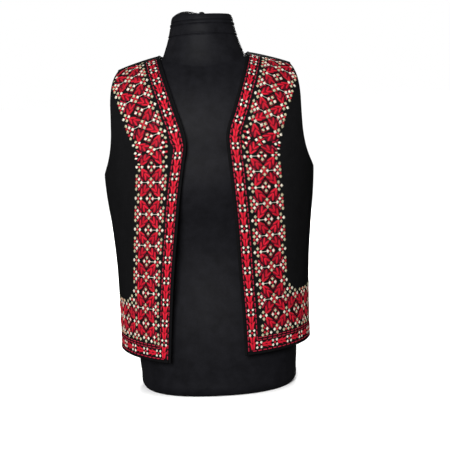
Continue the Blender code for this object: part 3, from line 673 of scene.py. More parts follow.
# A dot: half the length of each of its stitches, and how far apart they lie
DOT_ROWS, DOT_STEP = (0.9, 2.0, 2.8, 2.0, 0.9), 1.15


class Stitches:
    """Straight satin and running stitches, gathered by the colour of their thread.

    A stitch goes from one chart place to another. Its spread moves it sideways at its start,
    middle and end, and its widths are there too, all in millimetres."""

    def __init__(self, seed):
        self.chance = np.random.default_rng(seed)
        self.rows = {thread: [] for thread in THREADS}

    def lay(self, thread, start, end, width, rise, tone=0.4, spread=(0, 0, 0)):
        stray = self.chance.normal(0.0, STRAY, 4)
        tone += self.chance.uniform(-TONE_STRAY, TONE_STRAY)
        widths = width if isinstance(width, tuple) else (width,) * 3
        self.rows[thread].append((*(np.array((*start, *end)) + stray), *spread, *widths, rise, tone))

    def dot(self, thread, s, t, size=1.1):
        """A small diamond of satin stitches."""
        for row, half in enumerate(DOT_ROWS):
            level = s + (row - 2) * DOT_STEP * size
            self.lay(thread, (level, t - half * size), (level, t + half * size), 1.2 * size, 0.95)

    def square(self, s, t, size):
        """A small red square between dots."""
        for row in (-1.5, -0.5, 0.5, 1.5):
            level = s + row * size / 4.2
            half = size / 2 if abs(row) < 1.0 else size / 2.6
            self.lay("red", (level, t - half), (level, t + half), 1.12, 0.85)

    def leaf_arm(self, start, end, bow, dull):
        """One satin arm of a leaf, of three stitches that lie close, 0 for bright to 1 for dull: the side
        stitches carry painted shade and the middle one a painted highlight, which dull dims.
        """
        for place in (-1, 1, 0):
            off = place * LEAF_ARM_WIDTH / 2.7
            short = 0.08 * abs(place)
            ends = part_way(start, end, short), part_way(start, end, 1.0 - short)
            # side stitches get a dark tone as painted shade, the middle stitch a light tone as a painted
            # highlight
            look = ((1.0, 1.5, 1.1), 0.8, 0.0) if place else ((1.5, 2.2, 1.6), 1.15, 0.82 - 0.55 * dull)
            self.lay("red", *ends, *look, (off * 0.7, off + bow, off * 0.6))

    def petal(self, place, low, high, way):
        """One satin petal of a tulip, of five stitches that fan out from its foot."""
        for number in range(5):
            foot, tip = 0.75 + 0.55 * number, 1.1 + 1.42 * number
            start = place(low - 1.0 + 0.2 * number, way * foot)
            end = place(high - 1.2 + 0.75 * number, way * tip)
            # a petal bows outwards both along the edge and across
            turned = 1.0 if abs(end[0] - start[0]) > abs(end[1] - start[1]) else -1.0
            bow = -way * (0.2 + 0.22 * number) * turned
            # every other stitch is wider and higher and carries a painted highlight in its tone; the others
            # carry painted shade
            lit = number % 2
            wide = (0.9, 1.7, 1.6) if lit else (0.8, 1.2, 1.1)
            self.lay("red", start, end, wide, 0.85 + 0.25 * lit, 0.05 + 0.7 * lit, (0.0, bow, 0.0))

    def running(self, start, end, stitch=7.8, gap=2.9):
        """A running line in crimson from one chart place to another."""
        length = math.dist(start, end)
        count = max(1, int(round((length + gap) / (stitch + gap))))
        pitch = (length + gap) / count
        for number in range(count):
            parts = number * pitch / length, ((number + 1) * pitch - gap) / length
            self.lay("crimson", *(part_way(start, end, part) for part in parts), 2.0, 0.6)

    def strands(self, thread, place):
        """Middles, normals, widths, rises and tones of one thread's stitches on the cloth."""
        rows = np.array(self.rows[thread])

        def through(column):
            """Values at the start, the middle and the end of a stitch, read at its stations."""
            start, middle, end = (rows[:, column + k, None] for k in range(3))
            early = start + (middle - start) * STATIONS * 2
            return np.where(STATIONS < 0.5, early, middle + (end - middle) * (STATIONS * 2 - 1))

        aim = unit(rows[:, 2:4] - rows[:, 0:2])
        spread = through(4)
        s = rows[:, 0, None] + (rows[:, 2] - rows[:, 0])[:, None] * STATIONS - aim[:, 1, None] * spread
        t = rows[:, 1, None] + (rows[:, 3] - rows[:, 1])[:, None] * STATIONS + aim[:, 0, None] * spread
        width = through(7) * STATION_WIDTH * MM
        points, normals, good = place(s, t)
        # worn here marks both the flattening and the painted shade near the shoulder seam
        worn = smooth_step(*FLAT_AND_SHADED_HEIGHT, points[..., 2])
        rise = rows[:, 10, None] * STATION_RISE * MM * (PRESSED - WORN_RISE * worn)
        # painted shade: the tone of stitches near the shoulder seam is darkened
        tone = rows[:, 11] - PAINTED_SHOULDER_SHADE * worn.mean(axis=1)
        return [values[good.all(axis=1)] for values in (points, normals, width, rise, tone)]


def thread_piece(name, points, normals, width, rise, tone, material):
    """All stitches of one thread on a panel, each a low rounded strand with closed ends."""
    points = creased(points, normals, STITCH_BASE)
    run = unit(np.gradient(points, axis=1))
    across = unit(np.cross(normals, run))
    solid = points[:, :, None] + across[:, :, None] * (width[:, :, None, None] * SECTION_ACROSS[:, None])
    solid = solid + normals[:, :, None] * (rise[:, :, None, None] * SECTION_UP[:, None])
    shape = solid.shape[:3]
    number = np.arange(math.prod(shape)).reshape(shape)
    faces = np.concatenate([strips(number)[:, ::-1], number[:, 0], number[:, -1, ::-1]])
    u, v, tones = np.broadcast_arrays(
        arc_lengths(points, 1)[:, :, None], np.arange(shape[2]) * SECTION_STEP, tone[:, None, None]
    )
    uv = np.stack([u, v], -1).reshape(-1, 2)
    return mesh_piece(name, solid.reshape(-1, 3), faces, material, uv, tones.ravel())


# ---------------- the counted pattern, in millimetres of its chart
PITCH = 26.0  # across, between columns of the lattice
ROW = 30.0  # one row of the lattice, as its motifs are charted
MIDDLE = 65.0  # the middle column of the front band
TURN_ROW = 6  # the front edge leans inwards below this row, and the cloth faces the light above it
# The two nested chevrons of a leaf: from, to, and how far the arm bows
LEAF_ARMS = (
    ((10.9, 3.4), (14.0, 17.6), 0.3), ((1.7, 10.2), (13.2, 18.0), -0.2),
    ((18.6, 10.4), (21.4, 26.0), 1.3), ((7.8, 19.2), (20.6, 26.4), -0.3),
)
LEAF_ARM_WIDTH = 4.7
LEAF_OUTLINE = ((16.8, 2.6), (22.0, 7.6), (27.0, 16.0))
# Dark red stitches laid under a leaf as painted shade between its threads, so that no black shows between
# them
LEAF_PAINTED_SHADE = (
    ((9.6, 3.4), (19.8, 9.6)), ((8.4, 4.8), (21.8, 13.2)), ((6.2, 6.4), (22.8, 17.0)),
    ((4.6, 8.4), (23.0, 20.4)), ((3.0, 10.0), (22.6, 23.4)), ((1.8, 11.6), (20.4, 25.4)),
    ((3.0, 14.6), (15.4, 25.0)),
)
LEAF_STEM = ((1.2, 1.6), (5.4, 6.6))  # a short red stem from a node of dots to the tip of a leaf
DIAMOND = ((0.0, -13.6), (9.4, 0.0), (0.0, 13.6), (-9.4, 0.0), (0.0, -13.6))
# Motifs of dots and red squares: the thread of a dot or the size of a square, and how far it lies
# outwards of its node and above it
# the beige dots above and below are the cream thread in painted shade, darker than the side dots
FOUR_DOTS = (
    ("cream", -6.0, 0.0), ("beige", 0.0, -6.7), ("cream", 6.0, 0.0), ("beige", 0.0, 6.7), (5.2, 0.0, 0.0),
)
# a diamond cut in half by the edge of the band
HALF_DIAMOND = (
    ("beige", 5.4, -12.6), ("beige", 5.4, 0.0), ("beige", 5.4, 12.6), ("cream", 0.0, -6.4), (5.0, 5.4, -6.4),
    ("cream", 0.0, 6.4), (5.0, 5.4, 6.4), ("cream", -5.4, 0.0), (5.0, 0.0, 0.0),
)
# what is left of it where the band turns
SMALL_HALF = (("cream", 3.0, -7.8), ("cream", 3.0, 7.8), ("cream", -4.0, 1.0), (4.6, 2.0, 0.0))
# half a diamond that stands on a row, its point up
STANDING_HALF = (
    ("beige", -11.0, -4.6), ("cream", -5.4, 1.8), (3.4, -5.5, -4.6), ("beige", 11.0, -4.6),
    ("cream", 5.4, 1.8), (3.4, 5.5, -4.6), ("beige", 0.0, -4.6), ("beige", 0.0, 8.2), (3.6, 0.0, 1.8),
)
# the lower inner corner of the field
CORNER = (
    ("beige", -4.6, 10.4), ("cream", 4.6, 4.0), ("beige", -5.8, 2.2), ("cream", 12.0, -5.0),
    ("beige", 3.2, -6.2), ("beige", -5.8, -7.4), (4.4, -1.0, 6.4), (4.4, 5.6, -1.6), (4.4, -1.4, -2.4),
)
CORNER_STRETCH = 1.35  # of the half diamond where the band turns
CHAIN_MIDDLE = 16.0
CHAIN_LINES = (7.6, 25.4, 26.6)
HEM_LINES = (7.0, 27.0, 31.6)
HEM_CHAIN = (17.5, 29.0, 33.5)  # height over the hem, first cluster, and step along
HEM_END, EDGE_TOP = 245.0, 240.0  # how far the running lines go
HEM_CLEAR = {FRONT: 6.0, BACK: 5.8}  # height over the hem of the lowest stitches
TULIP, CLUSTER_CLEAR, HEM_CLUSTER_CLEAR = 14.0, 6.8, 6.6  # length of a tulip, and cluster to tulip
ALL_WAYS = ((-1, 1), (1, 1), (-1, -1), (1, -1))


class Lattice:
    """The lattice of leaves and dots: columns every pitch, and rows at given heights."""

    def __init__(self, stitches, row_at, column_at, shifts=()):
        self.stitches, self.row_at, self.column_at = stitches, row_at, column_at
        self.shifts = np.zeros((12, 26, 2))
        for (i, j), shift in dict(shifts).items():
            self.shifts[slice(0, 12) if i is None else i + 1, j] = shift

    def at(self, i, j, x, y):
        """A place by its lattice node and millimetres of the chart from it."""
        row, column = j + y / ROW, i + x / PITCH + 1.0
        low_row, low_column = min(24, max(0, int(row))), min(10, max(0, int(column)))
        up, out = min(1.0, max(0.0, row - low_row)), min(1.0, max(0.0, column - low_column))
        near = self.shifts[low_column, low_row] * (1 - up) + self.shifts[low_column, low_row + 1] * up
        far = self.shifts[low_column + 1, low_row] * (1 - up) + self.shifts[low_column + 1, low_row + 1] * up
        out_shift, up_shift = near * (1 - out) + far * out
        return self.row_at(row) + up_shift, self.column_at(i) + x + out_shift

    def path(self, i, j, places, across=1, up=1):
        """Places from one node, turned over by across and up."""
        return [self.at(i, j, across * x, up * y) for x, y in places]

    def motif(self, i, j, parts, across=1, up=1):
        """The dots and red squares of a motif at a node, turned over or stretched by across and up."""
        for what, x, y in parts:
            place = self.at(i, j, across * x, up * y)
            if what in THREADS:
                self.stitches.dot(what, *place)
            else:
                self.stitches.square(*place, what)

    def leaf(self, i, j, across, up):
        """One leaf from the leaf node (i, j) towards a corner of its cell, over dark red stitches of painted
        shade.
        """
        # painted shade: a dark red layer under the leaf, where there is only shade between its threads
        for places in LEAF_PAINTED_SHADE:
            self.stitches.lay("maroon", *self.path(i, j, places, across, up), 2.3, 0.3)
        # satin that runs upright would shine less, so the middle stitch of its arms gets painted shade in
        # place of a painted highlight:
        # below the turn these are the leaves that rise outwards or fall inwards, and above it the others
        rising = across * up > 0
        dull = 1.0 * rising if j < TURN_ROW else 0.8 * (not rising)
        for *places, bow in LEAF_ARMS:
            self.stitches.leaf_arm(*self.path(i, j, places, across, up), -bow * across * up, dull)
        self.stitches.lay("red", *self.path(i, j, LEAF_STEM, across, up), 2.2, 0.7)

    def leaf_outline(self, i, j, across, up):
        """The dark line that runs beside a leaf, on the side of the half diamond."""
        places = self.path(i, j, LEAF_OUTLINE, across, up)
        for start, end in zip(places, places[1:]):
            self.stitches.lay("crimson", part_way(start, end, 0.06), part_way(start, end, 0.88), 2.5, 0.55)

    def diamond(self, i, j):
        """Four dots in a thin dark outline."""
        self.motif(i, j, FOUR_DOTS)
        corners = self.path(i, j, DIAMOND)
        for start, end in zip(corners, corners[1:]):
            for low in (0.05, 0.55):
                ends = part_way(start, end, low), part_way(start, end, low + 0.4)
                self.stitches.lay("crimson", *ends, 1.1, 0.5)

    def float_thread(self, j, start, end):
        """A thin thread carried over the cloth between two columns of dots of a row."""
        ends = (self.at(i, j, x, 0.0) for i, x in (start, end))
        self.stitches.lay("cream", *ends, 0.7, 0.5)

    def four_leaves(self, i, j, ways):
        for across, up in ways:
            self.leaf(i, j, across, up)
            self.leaf_outline(i, j, across, up)

    def hem_field(self, columns):
        """The three rows of the field over the hem, in the given columns."""
        for i in columns:
            if i % 2 == 0:
                self.motif(i, 0, FOUR_DOTS)
                self.motif(i, 2, FOUR_DOTS)
                self.diamond(i, 1)
                self.four_leaves(i, 0, ALL_WAYS[:2])
                self.four_leaves(i, 2, ALL_WAYS[2:])
            else:
                self.motif(i, 1, FOUR_DOTS)
                self.motif(i, 0, STANDING_HALF)
                self.motif(i, 2, STANDING_HALF, 1, -1)


def tulips(stitches, place, start, end):
    """Tulips of two petals, one over the other, between two clusters of a chain."""
    count = max(2, int(round((end - start) / TULIP)))
    span = (end - start) / count
    for number in range(count):
        for way in (-1, 1):
            last = 0.0 if number < count - 1 else -0.8
            stitches.petal(place, start + number * span, start + (number + 1) * span + last, way)


def chain_cluster(stitches, place, at):
    """Four small cream dots round a red one."""
    for way_along in (-1, 1):
        for way_across in (-1, 1):
            stitches.dot("cream", *place(at + way_along * 4.3, way_across * 4.4), 0.92)
    stitches.square(*place(at, 0.0), 4.2)


def hem_chain(stitches, hem, starts):
    """The chain that runs along the hem."""

    def place(t, off):
        return hem + HEM_CHAIN[0] + off, t

    for start in starts:
        chain_cluster(stitches, place, start)
        tulips(stitches, place, start + HEM_CLUSTER_CLEAR, start + HEM_CHAIN[2] - HEM_CLUSTER_CLEAR)


def front_embroidery(side):
    """The stitches of one front: its chain, its field, and its share of the hem."""
    chart = FrontChart(side)
    rows, chain = FIELD_ROWS[side], CHAIN_ROWS[side]
    hem = -CORNER_LEVEL[side] * CHART_SPAN[side] / MM
    stitches = Stitches(7 if side == RIGHT else 8)

    def row_at(j):
        if j < 0.0:
            return rows[0] + j * (rows[1] - rows[0])
        return float(np.interp(j, np.arange(len(rows)), rows))

    lattice = Lattice(stitches, row_at, lambda i: MIDDLE + PITCH * i, FIELD_SHIFT[side])
    for j in range(len(rows)):
        if j % 2 == 0:
            lattice.motif(0, j, FOUR_DOTS)
            lattice.four_leaves(0, j, ALL_WAYS if j else ALL_WAYS[:2])
            if j:
                lattice.motif(-1, j, HALF_DIAMOND, -1, CORNER_STRETCH if j == MITRE_ROW else 1.0)
                if j != MITRE_ROW or side == RIGHT:
                    lattice.float_thread(j, (-1, 7.0), (0, -7.5))
            if j > 2:
                lattice.motif(1, j, SMALL_HALF if j == MITRE_ROW else HALF_DIAMOND)
            if j >= 2 and j != MITRE_ROW:
                lattice.float_thread(j, (0, 7.5), (1, -7.0))
        else:
            lattice.diamond(0, j)
            lattice.motif(-1, j, FOUR_DOTS)
            lattice.motif(1, j, FOUR_DOTS)
            if j > 1:
                lattice.float_thread(j, (-1, 7.5), (0, -7.5))
    lattice.motif(-1, 0, CORNER)
    lattice.motif(1, 2, FOUR_DOTS)
    lattice.motif(1.47, 2.41, FOUR_DOTS)
    lattice.motif(1, 0, STANDING_HALF)
    lattice.hem_field(range(2, 9))

    def beside_edge(s, off):
        return s, CHAIN_MIDDLE + off

    for low, high in zip(chain, chain[1:]):
        tulips(stitches, beside_edge, low + CLUSTER_CLEAR, high - CLUSTER_CLEAR)
    for at in chain[1:]:
        chain_cluster(stitches, beside_edge, at)
    hem_chain(stitches, hem, [HEM_CHAIN[1] + number * HEM_CHAIN[2] for number in range(8)])
    low, inner, outer = (hem + line for line in HEM_LINES)
    for start, end in (
        ((low, CHAIN_LINES[0]), (EDGE_TOP, CHAIN_LINES[0])),
        ((inner, CHAIN_LINES[1]), (EDGE_TOP, CHAIN_LINES[1])),
        ((low, CHAIN_LINES[0] + 8.0), (low, HEM_END)),
        ((inner, CHAIN_LINES[1] + 1.5), (inner, HEM_END)),
        ((outer, CHAIN_LINES[2] + 1.5), (outer, HEM_END)),
    ):
        stitches.running(start, end)

    def place(s, t):
        angle, level, good = chart.place(s, t)
        points = wall_point(side, FRONT, angle, level)
        good &= (s > hem + HEM_CLEAR[FRONT]) & (points[..., 2] < ridge_height(points[..., 0]) - SEAM_CLEAR)
        return points, wall_normal(side, FRONT, angle, level), good

    return stitches, place


BACK_COLUMNS, BACK_HALF, BACK_ROW = 9, 253.0, 29.0
BACK_LEVELS = np.linspace(0.0, 0.33, 34)
BACK_REACH = np.linspace(0.0, 0.262, 132)


def back_embroidery():
    """The stitches of the hem of the back, counted out from its middle."""
    stitches = Stitches(9)
    pitch = BACK_HALF / BACK_COLUMNS
    rows = np.mean([
        np.array(FIELD_ROWS[side][:4]) + CORNER_LEVEL[side] * CHART_SPAN[side] / MM for side in (RIGHT, LEFT)
    ], axis=0)

    def row_at(j):
        return float(np.interp(j, np.arange(4), rows)) if j >= 0 else rows[0] + j * BACK_ROW

    Lattice(stitches, row_at, lambda i: pitch * i).hem_field(range(-BACK_COLUMNS, BACK_COLUMNS + 1))
    hem_chain(stitches, 0.0, [number * HEM_CHAIN[2] for number in range(-8, 8)])
    for line in HEM_LINES:
        stitches.running((line, -BACK_HALF - 2.0), (line, BACK_HALF + 2.0))
    grids = {side: np.array([
        distance_along(side, BACK, level, QUARTER, BACK_REACH, -1.0, CHART_SAMPLES)
        for level in BACK_LEVELS
    ]) for side in (RIGHT, LEFT)}

    def place(v, t):
        share = np.clip(t / BACK_HALF * 0.5 + 0.5, 0.0, 1.0)
        span = (CHART_SPAN[RIGHT] + (CHART_SPAN[LEFT] - CHART_SPAN[RIGHT]) * share) / MM
        level = np.clip(v / span, 0.0, BACK_LEVELS[-1] - 1e-4)
        j = np.clip(np.abs(t) * MM / BACK_REACH[1], 0.0, len(BACK_REACH) - 1.001)
        points, normals = np.empty(t.shape + (3,)), np.empty(t.shape + (3,))
        good = (v > HEM_CLEAR[BACK]) & (v < HEM_BAND_TOP / MM - 1.0)
        for side in (RIGHT, LEFT):
            angle = between(grids[side], level / BACK_LEVELS[1], j)
            here = (t < 0.0) == (side == RIGHT)
            good &= ~here | (angle > 0.006)
            angle = np.clip(angle, 0.0, QUARTER)
            points[here] = wall_point(side, BACK, angle, level)[here]
            normals[here] = wall_normal(side, BACK, angle, level)[here]
        return points, normals, good

    return stitches, place


# ---------------- the dress form
FORM_CAP_START, FORM_CAP_POWER, FORM_SQUARENESS = 0.470, 2.15, 2.25
FORM_RIDGE_DROP = 0.0037
NECK_BASE_HALF_WIDTH, NECK_BASE_HALF_DEPTH, NECK_BASE_BACK = 0.0810, 0.0640, 0.002
# height, half width, front depth, back depth
FORM_RINGS = np.array((
    (0.000, 0.150, 0.102, 0.096), (0.004, 0.1535, 0.1055, 0.0995), (0.030, 0.157, 0.108, 0.103),
    (0.080, 0.160, 0.110, 0.106), (0.130, 0.157, 0.107, 0.104), (0.190, 0.145, 0.099, 0.094),
    (0.240, 0.134, 0.093, 0.085), (0.285, 0.130, 0.092, 0.081), (0.330, 0.135, 0.099, 0.084),
    (0.375, 0.148, 0.112, 0.091), (0.410, 0.159, 0.119, 0.097), (0.440, 0.167, 0.119, 0.101),
    (0.470, 0.171, 0.116, 0.103),
))
# number of the ring, height, half width, half depth, middle
NECK_RINGS = np.array((
    (0, 0.658, 0.0786, 0.0625, 0.002), (1, 0.664, 0.0762, 0.0612, 0.002), (2, 0.6715, 0.0735, 0.06, 0.002),
    (3, 0.681, 0.07, 0.0588, 0.002), (4, 0.693, 0.0665, 0.0572, 0.001), (5, 0.706, 0.0634, 0.0555, 0.001),
    (6, 0.719, 0.0606, 0.0535, 0.0), (7, 0.7265, 0.0588, 0.052, 0.0), (8, 0.732, 0.0548, 0.0485, 0.0),
    (9, 0.7348, 0.044, 0.038, 0.0), (10, 0.7352, 0.03, 0.0265, 0.0), (11, 0.7335, 0.016, 0.0145, 0.0),
    (12, 0.733, 0.007, 0.0065, 0.0), (13, 0.737, 0.0055, 0.005, 0.0), (14, 0.7385, 0.003, 0.0028, 0.0),
))
GATHER_RING, GATHER_RINGS = 8.0, 4.0  # the ring where the cover starts to be gathered, and over how many
KNOT_TOP = 0.7390
FORM_TURNS, FORM_BODY_RINGS, FORM_CAP_RINGS, FORM_NECK_RINGS = 112, 48, 34, 190
# folded bands and seams of the neck cover: height in front, half height, and swell
NECK_SEAMS = (
    (0.7215, 0.0007, -0.0020), (0.7178, 0.0022, 0.0008), (0.7140, 0.0007, -0.0021),
    (0.6945, 0.0008, -0.0020), (0.6968, 0.0016, 0.0007),
)
NECK_SEAM_BOW = 0.0040


def form_outline(angle, half_width, depth):
    sizes = (half_width, math.cos(angle)), (depth, math.sin(angle))
    return tuple(size * math.copysign(abs(wave) ** (2.0 / FORM_SQUARENESS), wave) for size, wave in sizes)


def form_cap_height(across, deep, depth):
    """Height of the shoulders of the form at a place seen from above."""
    shrink = 1.0 - np.clip(np.abs(across) / FORM_RINGS[-1, 1], 0.0, 1.0) ** FORM_SQUARENESS
    limit = np.maximum(depth * shrink ** (1.0 / FORM_SQUARENESS), 1e-9)
    part = np.where(np.abs(deep) < 1e-9, 0.0, np.clip(np.abs(deep) / limit, 0.0, 1.0))
    ridge = ridge_height(across) - FORM_RIDGE_DROP
    return FORM_CAP_START + (ridge - FORM_CAP_START) * (1.0 - part**FORM_CAP_POWER) ** (1.0 / FORM_CAP_POWER)


def form_line(angle):
    """One line of the form from its underside up to the knot of its cover."""
    cosine, sine = math.cos(angle), math.sin(angle)
    column = 3 if sine > 0.0 else 2
    heights = np.concatenate([[0.0, 0.0012, 0.004], np.linspace(0.010, FORM_CAP_START, FORM_BODY_RINGS)])
    line = []
    for height in heights:
        sizes = (float(curve(FORM_RINGS, number, height)) for number in (1, column))
        line.append((*form_outline(angle, *sizes), height))
    depth = FORM_RINGS[-1, column]
    start = np.array(form_outline(angle, FORM_RINGS[-1, 1], depth))
    goal = np.array((NECK_BASE_HALF_WIDTH * cosine, NECK_BASE_BACK + NECK_BASE_HALF_DEPTH * sine))
    part = 1.0 - np.cos(np.linspace(0.0, QUARTER, 200))
    plan = start + (goal - start) * part[:, None]
    cap = np.concatenate([plan, form_cap_height(plan[:, 0], plan[:, 1], depth)[:, None]], axis=1)
    cap[0] = line[-1]
    length = arc_lengths(cap)
    for distance in np.linspace(0.0, length[-1], FORM_CAP_RINGS + 1)[1:]:
        line.append(tuple(np.interp(distance, length, cap[:, axis]) for axis in range(3)))
    bow = NECK_SEAM_BOW * (1.0 - abs(sine))
    for number in np.linspace(0.0, NECK_RINGS[-1, 0], FORM_NECK_RINGS):
        height, half_width, half_depth, middle = (float(curve(NECK_RINGS, k, number)) for k in range(1, 5))
        swell = 0.0
        if number < GATHER_RING:
            for seam, half, out in NECK_SEAMS:
                swell += out * math.exp(-(((height - seam + bow) / half) ** 2))
        else:
            gather = math.sin(math.pi * min(1.0, (number - GATHER_RING) / GATHER_RINGS))
            height += 0.0009 * gather * math.cos(11 * angle + 1.3 * math.sin(3 * angle))
            height += gather * (0.0085 * max(0.0, math.cos(angle - 3.3)) - 0.0040)
        line.append(((half_width + swell) * cosine, middle + (half_depth + swell) * sine, height))
    return line


def form_piece(name, material):
    """The limbless form in its jersey cover."""
    lines = [form_line(2.0 * math.pi * turn / FORM_TURNS) for turn in range(FORM_TURNS)]
    points = np.array(lines).transpose(1, 0, 2)
    uv = np.stack([arc_lengths(points, 1), arc_lengths(points)], axis=-1).reshape(-1, 2)
    bottom = points.shape[0] * FORM_TURNS
    number = np.arange(bottom).reshape(-1, FORM_TURNS)
    following = np.roll(number, -1, axis=1)
    faces = strips(number).tolist()
    faces += [[bottom, int(b), int(a)] for a, b in zip(number[0], following[0])]
    faces += [[bottom + 1, int(a), int(b)] for a, b in zip(number[-1], following[-1])]
    everything = np.concatenate([points.reshape(-1, 3), [[0.0, 0.0, 0.0], [0.0, 0.0, KNOT_TOP]]])
    return mesh_piece(name, everything, faces, material, np.concatenate([uv, np.zeros((2, 2))]))


# ---------------- materials
COLOUR_A, COLOUR_B, COLOUR_OUT = 6, 7, 2  # sockets of a Mix node that mixes colours


def linear(hex_colour):
    """The linear red, green and blue of an sRGB hex colour."""
    parts = [int(hex_colour[place: place + 2], 16) / 255.0 for place in (1, 3, 5)]
    return tuple(part / 12.92 if part <= 0.04045 else ((part + 0.055) / 1.055) ** 2.4 for part in parts)


def shade_of(colour, factor):
    return tuple(min(1.0, channel * factor) for channel in colour[:3]) + (1.0,)


def feed(tree, node, inputs):
    """Sets or links the inputs of a node."""
    for name, value in inputs.items():
        if isinstance(value, bpy.types.NodeSocket):
            tree.links.new(value, node.inputs[name])
        else:
            node.inputs[name].default_value = value


def add_node(tree, kind, inputs, out=0, **settings):
    """Adds a node with its settings and inputs, and gives back one of its outputs."""
    node = tree.nodes.new("ShaderNode" + kind)
    for name, value in settings.items():
        setattr(node, name, value)
    feed(tree, node, inputs)
    return node.outputs[out]


def new_material(name):
    """A material with its tree, places in metres, and places along and across its yarns."""
    material = bpy.data.materials.new(name)
    material.use_nodes = True
    tree = material.node_tree
    places = add_node(tree, "TexCoord", {}, "Object")
    return material, tree, places, places.node.outputs["UV"]


def finish_material(material, colour, relief=(), **values):
    """Gives the shader its colour, its relief, one bump over another, and its plain values."""
    tree = material.node_tree
    inputs = {"Base Color": colour} | {name.replace("_", " "): value for name, value in values.items()}
    for height, strength, distance in relief:
        under = {"Normal": inputs["Normal"]} if "Normal" in inputs else {}
        bump = {"Height": height, "Strength": strength, "Distance": distance}
        inputs["Normal"] = add_node(tree, "Bump", bump | under)
    feed(tree, tree.nodes["Principled BSDF"], inputs)
    return material


def felted_wool(colour):
    """Fulled wool broadcloth, brushed: a matt black nap with short stray fibres, faint blotches
    and a little lint, and hardly any gloss."""
    material, tree, place, _ = new_material("Felted wool broadcloth, brushed")
    blotch = add_node(tree, "TexNoise", {"Vector": place, "Scale": 60.0, "Detail": 3.0, "Roughness": 0.6})
    # fibres are 0.02 mm thick, drawn as 0.9 mm tufts so that they show
    nap = add_node(tree, "TexNoise", {"Vector": place, "Scale": 1100.0, "Detail": 4.0, "Roughness": 0.7})
    stretched = add_node(tree, "Mapping", {"Vector": place, "Scale": (1.0, 1.0, 0.28)})
    fibre = add_node(tree, "TexNoise", {"Vector": stretched, "Scale": 900.0, "Detail": 2.0})
    shades = {"Factor": blotch, COLOUR_A: shade_of(colour, 0.72), COLOUR_B: shade_of(colour, 1.35)}
    tone = add_node(tree, "Mix", shades, COLOUR_OUT, data_type="RGBA")
    lint = add_node(tree, "MapRange", {"Value": fibre, "From Min": 0.58, "From Max": 0.80, "To Max": 0.6})
    shades = {"Factor": lint, COLOUR_A: tone, COLOUR_B: shade_of(colour, 2.6)}
    flecked = add_node(tree, "Mix", shades, COLOUR_OUT, data_type="RGBA")
    rough = add_node(tree, "MapRange", {"Value": blotch, "To Min": 0.86, "To Max": 1.0})
    relief = ((fibre, 0.35, 0.0006), (nap, 0.5, 0.0005))
    return finish_material(material, flecked, relief, Roughness=rough, Specular_IOR_Level=0.03)


def stranded_wool(name, colour, sheen):
    """Two-ply embroidery yarn laid as satin stitch: each stitch is coloured by its tone, which holds
    random differences, painted highlights and painted shade, and shows the twist of its plies."""
    material, tree, place, yarn = new_material(name)
    tone = add_node(tree, "Attribute", {}, "Fac", attribute_name="tone")
    dye = add_node(tree, "TexNoise", {"Vector": place, "Scale": 420.0, "Detail": 3.0})
    mixed = add_node(tree, "Math", {0: dye, 1: 0.5, 2: tone}, operation="MULTIPLY_ADD")
    shade = add_node(tree, "ValToRGB", {"Fac": mixed})
    dark, lit = shade.node.color_ramp.elements
    dark.position, dark.color = 0.10, shade_of(colour, 0.5)
    lit.position, lit.color = 1.0, shade_of(colour, 1.12)
    # plies turn every 0.7 mm, drawn at 1.3 mm so that they show
    turned = add_node(tree, "Mapping", {"Vector": yarn, "Rotation": (0.0, 0.0, 0.7)})
    plies = {"Vector": turned, "Scale": 242.0, "Distortion": 1.2, "Detail": 1.0}
    twist = add_node(tree, "TexWave", plies, "Fac")
    fuzz = add_node(tree, "TexNoise", {"Vector": place, "Scale": 2600.0, "Detail": 2.0})
    relief = ((fuzz, 0.25, 0.0003), (twist, 0.45, 0.0003))
    gloss = {"Specular_IOR_Level": 0.12, "Sheen_Weight": sheen, "Sheen_Roughness": 0.4}
    return finish_material(material, shade, relief, Roughness=0.5, **gloss)


def cotton_tape(colour):
    """Woven cotton tape, folded and pressed: flat, with a fine diagonal twill, and worn a
    little paler in places."""
    material, tree, place, yarn = new_material("Cotton twill tape, folded")
    worn = add_node(tree, "TexNoise", {"Vector": place, "Scale": 150.0, "Detail": 3.0})
    shades = {"Factor": worn, COLOUR_A: shade_of(colour, 0.75), COLOUR_B: shade_of(colour, 1.5)}
    tone = add_node(tree, "Mix", shades, COLOUR_OUT, data_type="RGBA")
    # twill lines stand 0.4 mm apart, drawn at 0.8 mm
    turned = add_node(tree, "Mapping", {"Vector": yarn, "Rotation": (0.0, 0.0, 0.78)})
    twill = add_node(tree, "TexWave", {"Vector": turned, "Scale": 390.0}, "Fac")
    return finish_material(material, tone, ((twill, 0.3, 0.0002),), Roughness=0.82, Specular_IOR_Level=0.04)


